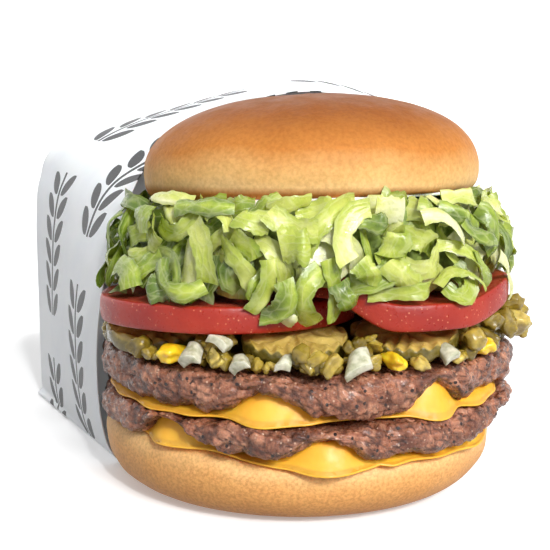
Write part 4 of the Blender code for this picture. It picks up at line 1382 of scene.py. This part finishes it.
def print_places():
    """How far round the sheet each column lies, measured half way back."""
    found, last = [0.0], wrapper_point(0.5, 0.0)
    for column in range(1, AROUND_STEPS + 1):
        point = wrapper_point(0.5, (column % AROUND_STEPS) / AROUND_STEPS)
        found.append(found[-1] + (point - last).length)
        last = point
    return found


# The room

CAMERA_PLACE = (-8.4, -270.0, 92.5)
CAMERA_DOWN = 7.635
CAMERA_LENS = 60.57
FLOOR = 1.2
SWEEP = 0.6


BACKDROP_TOP = 4.0
BACKDROP_WHITE = (0.93, 0.93, 0.93, 1.0)
SWEEP_STEPS = 12

# (bearing, height in degrees, strength, softness in degrees)
SUNS = {"key": (32.0, 32.0, 2.75, 24.0), "glint": (20.0, 36.0, 1.1, 3.0)}
SKY_TOWARD = (0.55, -0.35, 0.75)
SKY_DIM = 0.26
SKY_BRIGHT = 0.62


def camera():
    data = bpy.data.cameras.new("camera")
    data.lens = CAMERA_LENS
    data.sensor_width = 36.0
    data.clip_start = 0.01
    obj = add_object("camera", data)
    obj.location = Vector(CAMERA_PLACE) * MM
    obj.rotation_euler = (radians(90.0 - CAMERA_DOWN), 0.0, 0.0)
    bpy.context.scene.camera = obj


def backdrop():
    """A white floor that sweeps up all round, brighter with height. It throws no light on the burger."""
    profile = [(0.0, 0.0), (0.5 * FLOOR, 0.0)]
    for step in range(SWEEP_STEPS + 1):
        angle = radians(90.0 * step / SWEEP_STEPS)
        profile.append((FLOOR + SWEEP * sin(angle), SWEEP - SWEEP * cos(angle)))
    profile += [(FLOOR + SWEEP, BACKDROP_TOP), (0.0, BACKDROP_TOP)]
    colours = {"Base_Color": BACKDROP_WHITE, "Emission_Color": (1.0, 1.0, 1.0, 1.0)}
    made = Finish("backdrop white", 0.8, Specular_IOR_Level=0.1, **colours)
    made.set("Emission Strength", made.ramp(made.axes()[2], (0.0, 0.25), (0.8, 0.6)))
    obj = add_mesh("backdrop", turned(profile, 96), made.material)
    obj.visible_diffuse = False
    obj.visible_shadow = False
    obj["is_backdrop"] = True


def sun(name, bearing, height, strength, softness):
    """A light so far away that it falls evenly on burger and backdrop."""
    data = bpy.data.lights.new(name, "SUN")
    data.energy = strength
    data.angle = radians(softness)
    obj = add_object(name, data)
    obj.location = Vector((*polar(cos(radians(height)), bearing), sin(radians(height))))
    obj.rotation_euler = obj.location.to_track_quat("Z", "Y").to_euler()


def studio():
    """White surroundings that are brighter above and to the right, with a soft key light from there."""
    world = bpy.data.worlds.new("studio")
    world.use_nodes = True
    nodes, links = world.node_tree.nodes, world.node_tree.links
    direction = nodes.new("ShaderNodeTexCoord").outputs["Generated"]
    toward = nodes.new("ShaderNodeVectorMath")
    toward.operation = "DOT_PRODUCT"
    toward.inputs[1].default_value = SKY_TOWARD
    links.new(direction, toward.inputs[0])
    brightness = nodes.new("ShaderNodeMapRange")
    for socket, value in (("From Min", -1.0), ("To Min", SKY_DIM), ("To Max", SKY_BRIGHT)):
        brightness.inputs[socket].default_value = value
    links.new(toward.outputs["Value"], brightness.inputs["Value"])
    links.new(brightness.outputs["Result"], nodes["Background"].inputs["Strength"])
    nodes["Background"].inputs["Color"].default_value = (1.0, 1.0, 1.0, 1.0)
    bpy.context.scene.world = world
    for name, values in SUNS.items():
        sun(name, *values)
    bpy.context.scene.view_settings.view_transform = "Standard"


def main():
    camera()
    backdrop()
    studio()
    crown_piece = crown()
    heel()
    patties_and_cheese()
    red = tomato_finish()
    tomatoes = [
        tomato("tomato_left", TOMATO_LEFT, left_tomato_base, red),
        tomato("tomato_right", TOMATO_RIGHT, right_tomato_base, red),
    ]
    green = pickle_finish()
    toppings = [pickle(name, place, green) for name, place in PICKLES.items()]
    white = onion_finish()
    toppings += [onion(name, place, white) for name, place in ONIONS.items()]
    yellow = sauce_finish("mustard", (236, 190, 30), (252, 214, 50))
    toppings += [mustard(name, place, yellow) for name, place in MUSTARDS.items()]
    spread = mayonnaise(sauce_finish("mayonnaise", (244, 240, 224), (252, 250, 242)))
    paper = wrapper()
    relish(relish_finish(), tree_of(*toppings, *tomatoes))
    lettuce(tree_of(*tomatoes, crown_piece, spread, paper, *toppings))
    lettuce_core()


main()

sizes = {"cad": CAD_BOUNDS, "visual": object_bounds()}
{name: [list(corner) for corner in box] for name, box in sizes.items()}
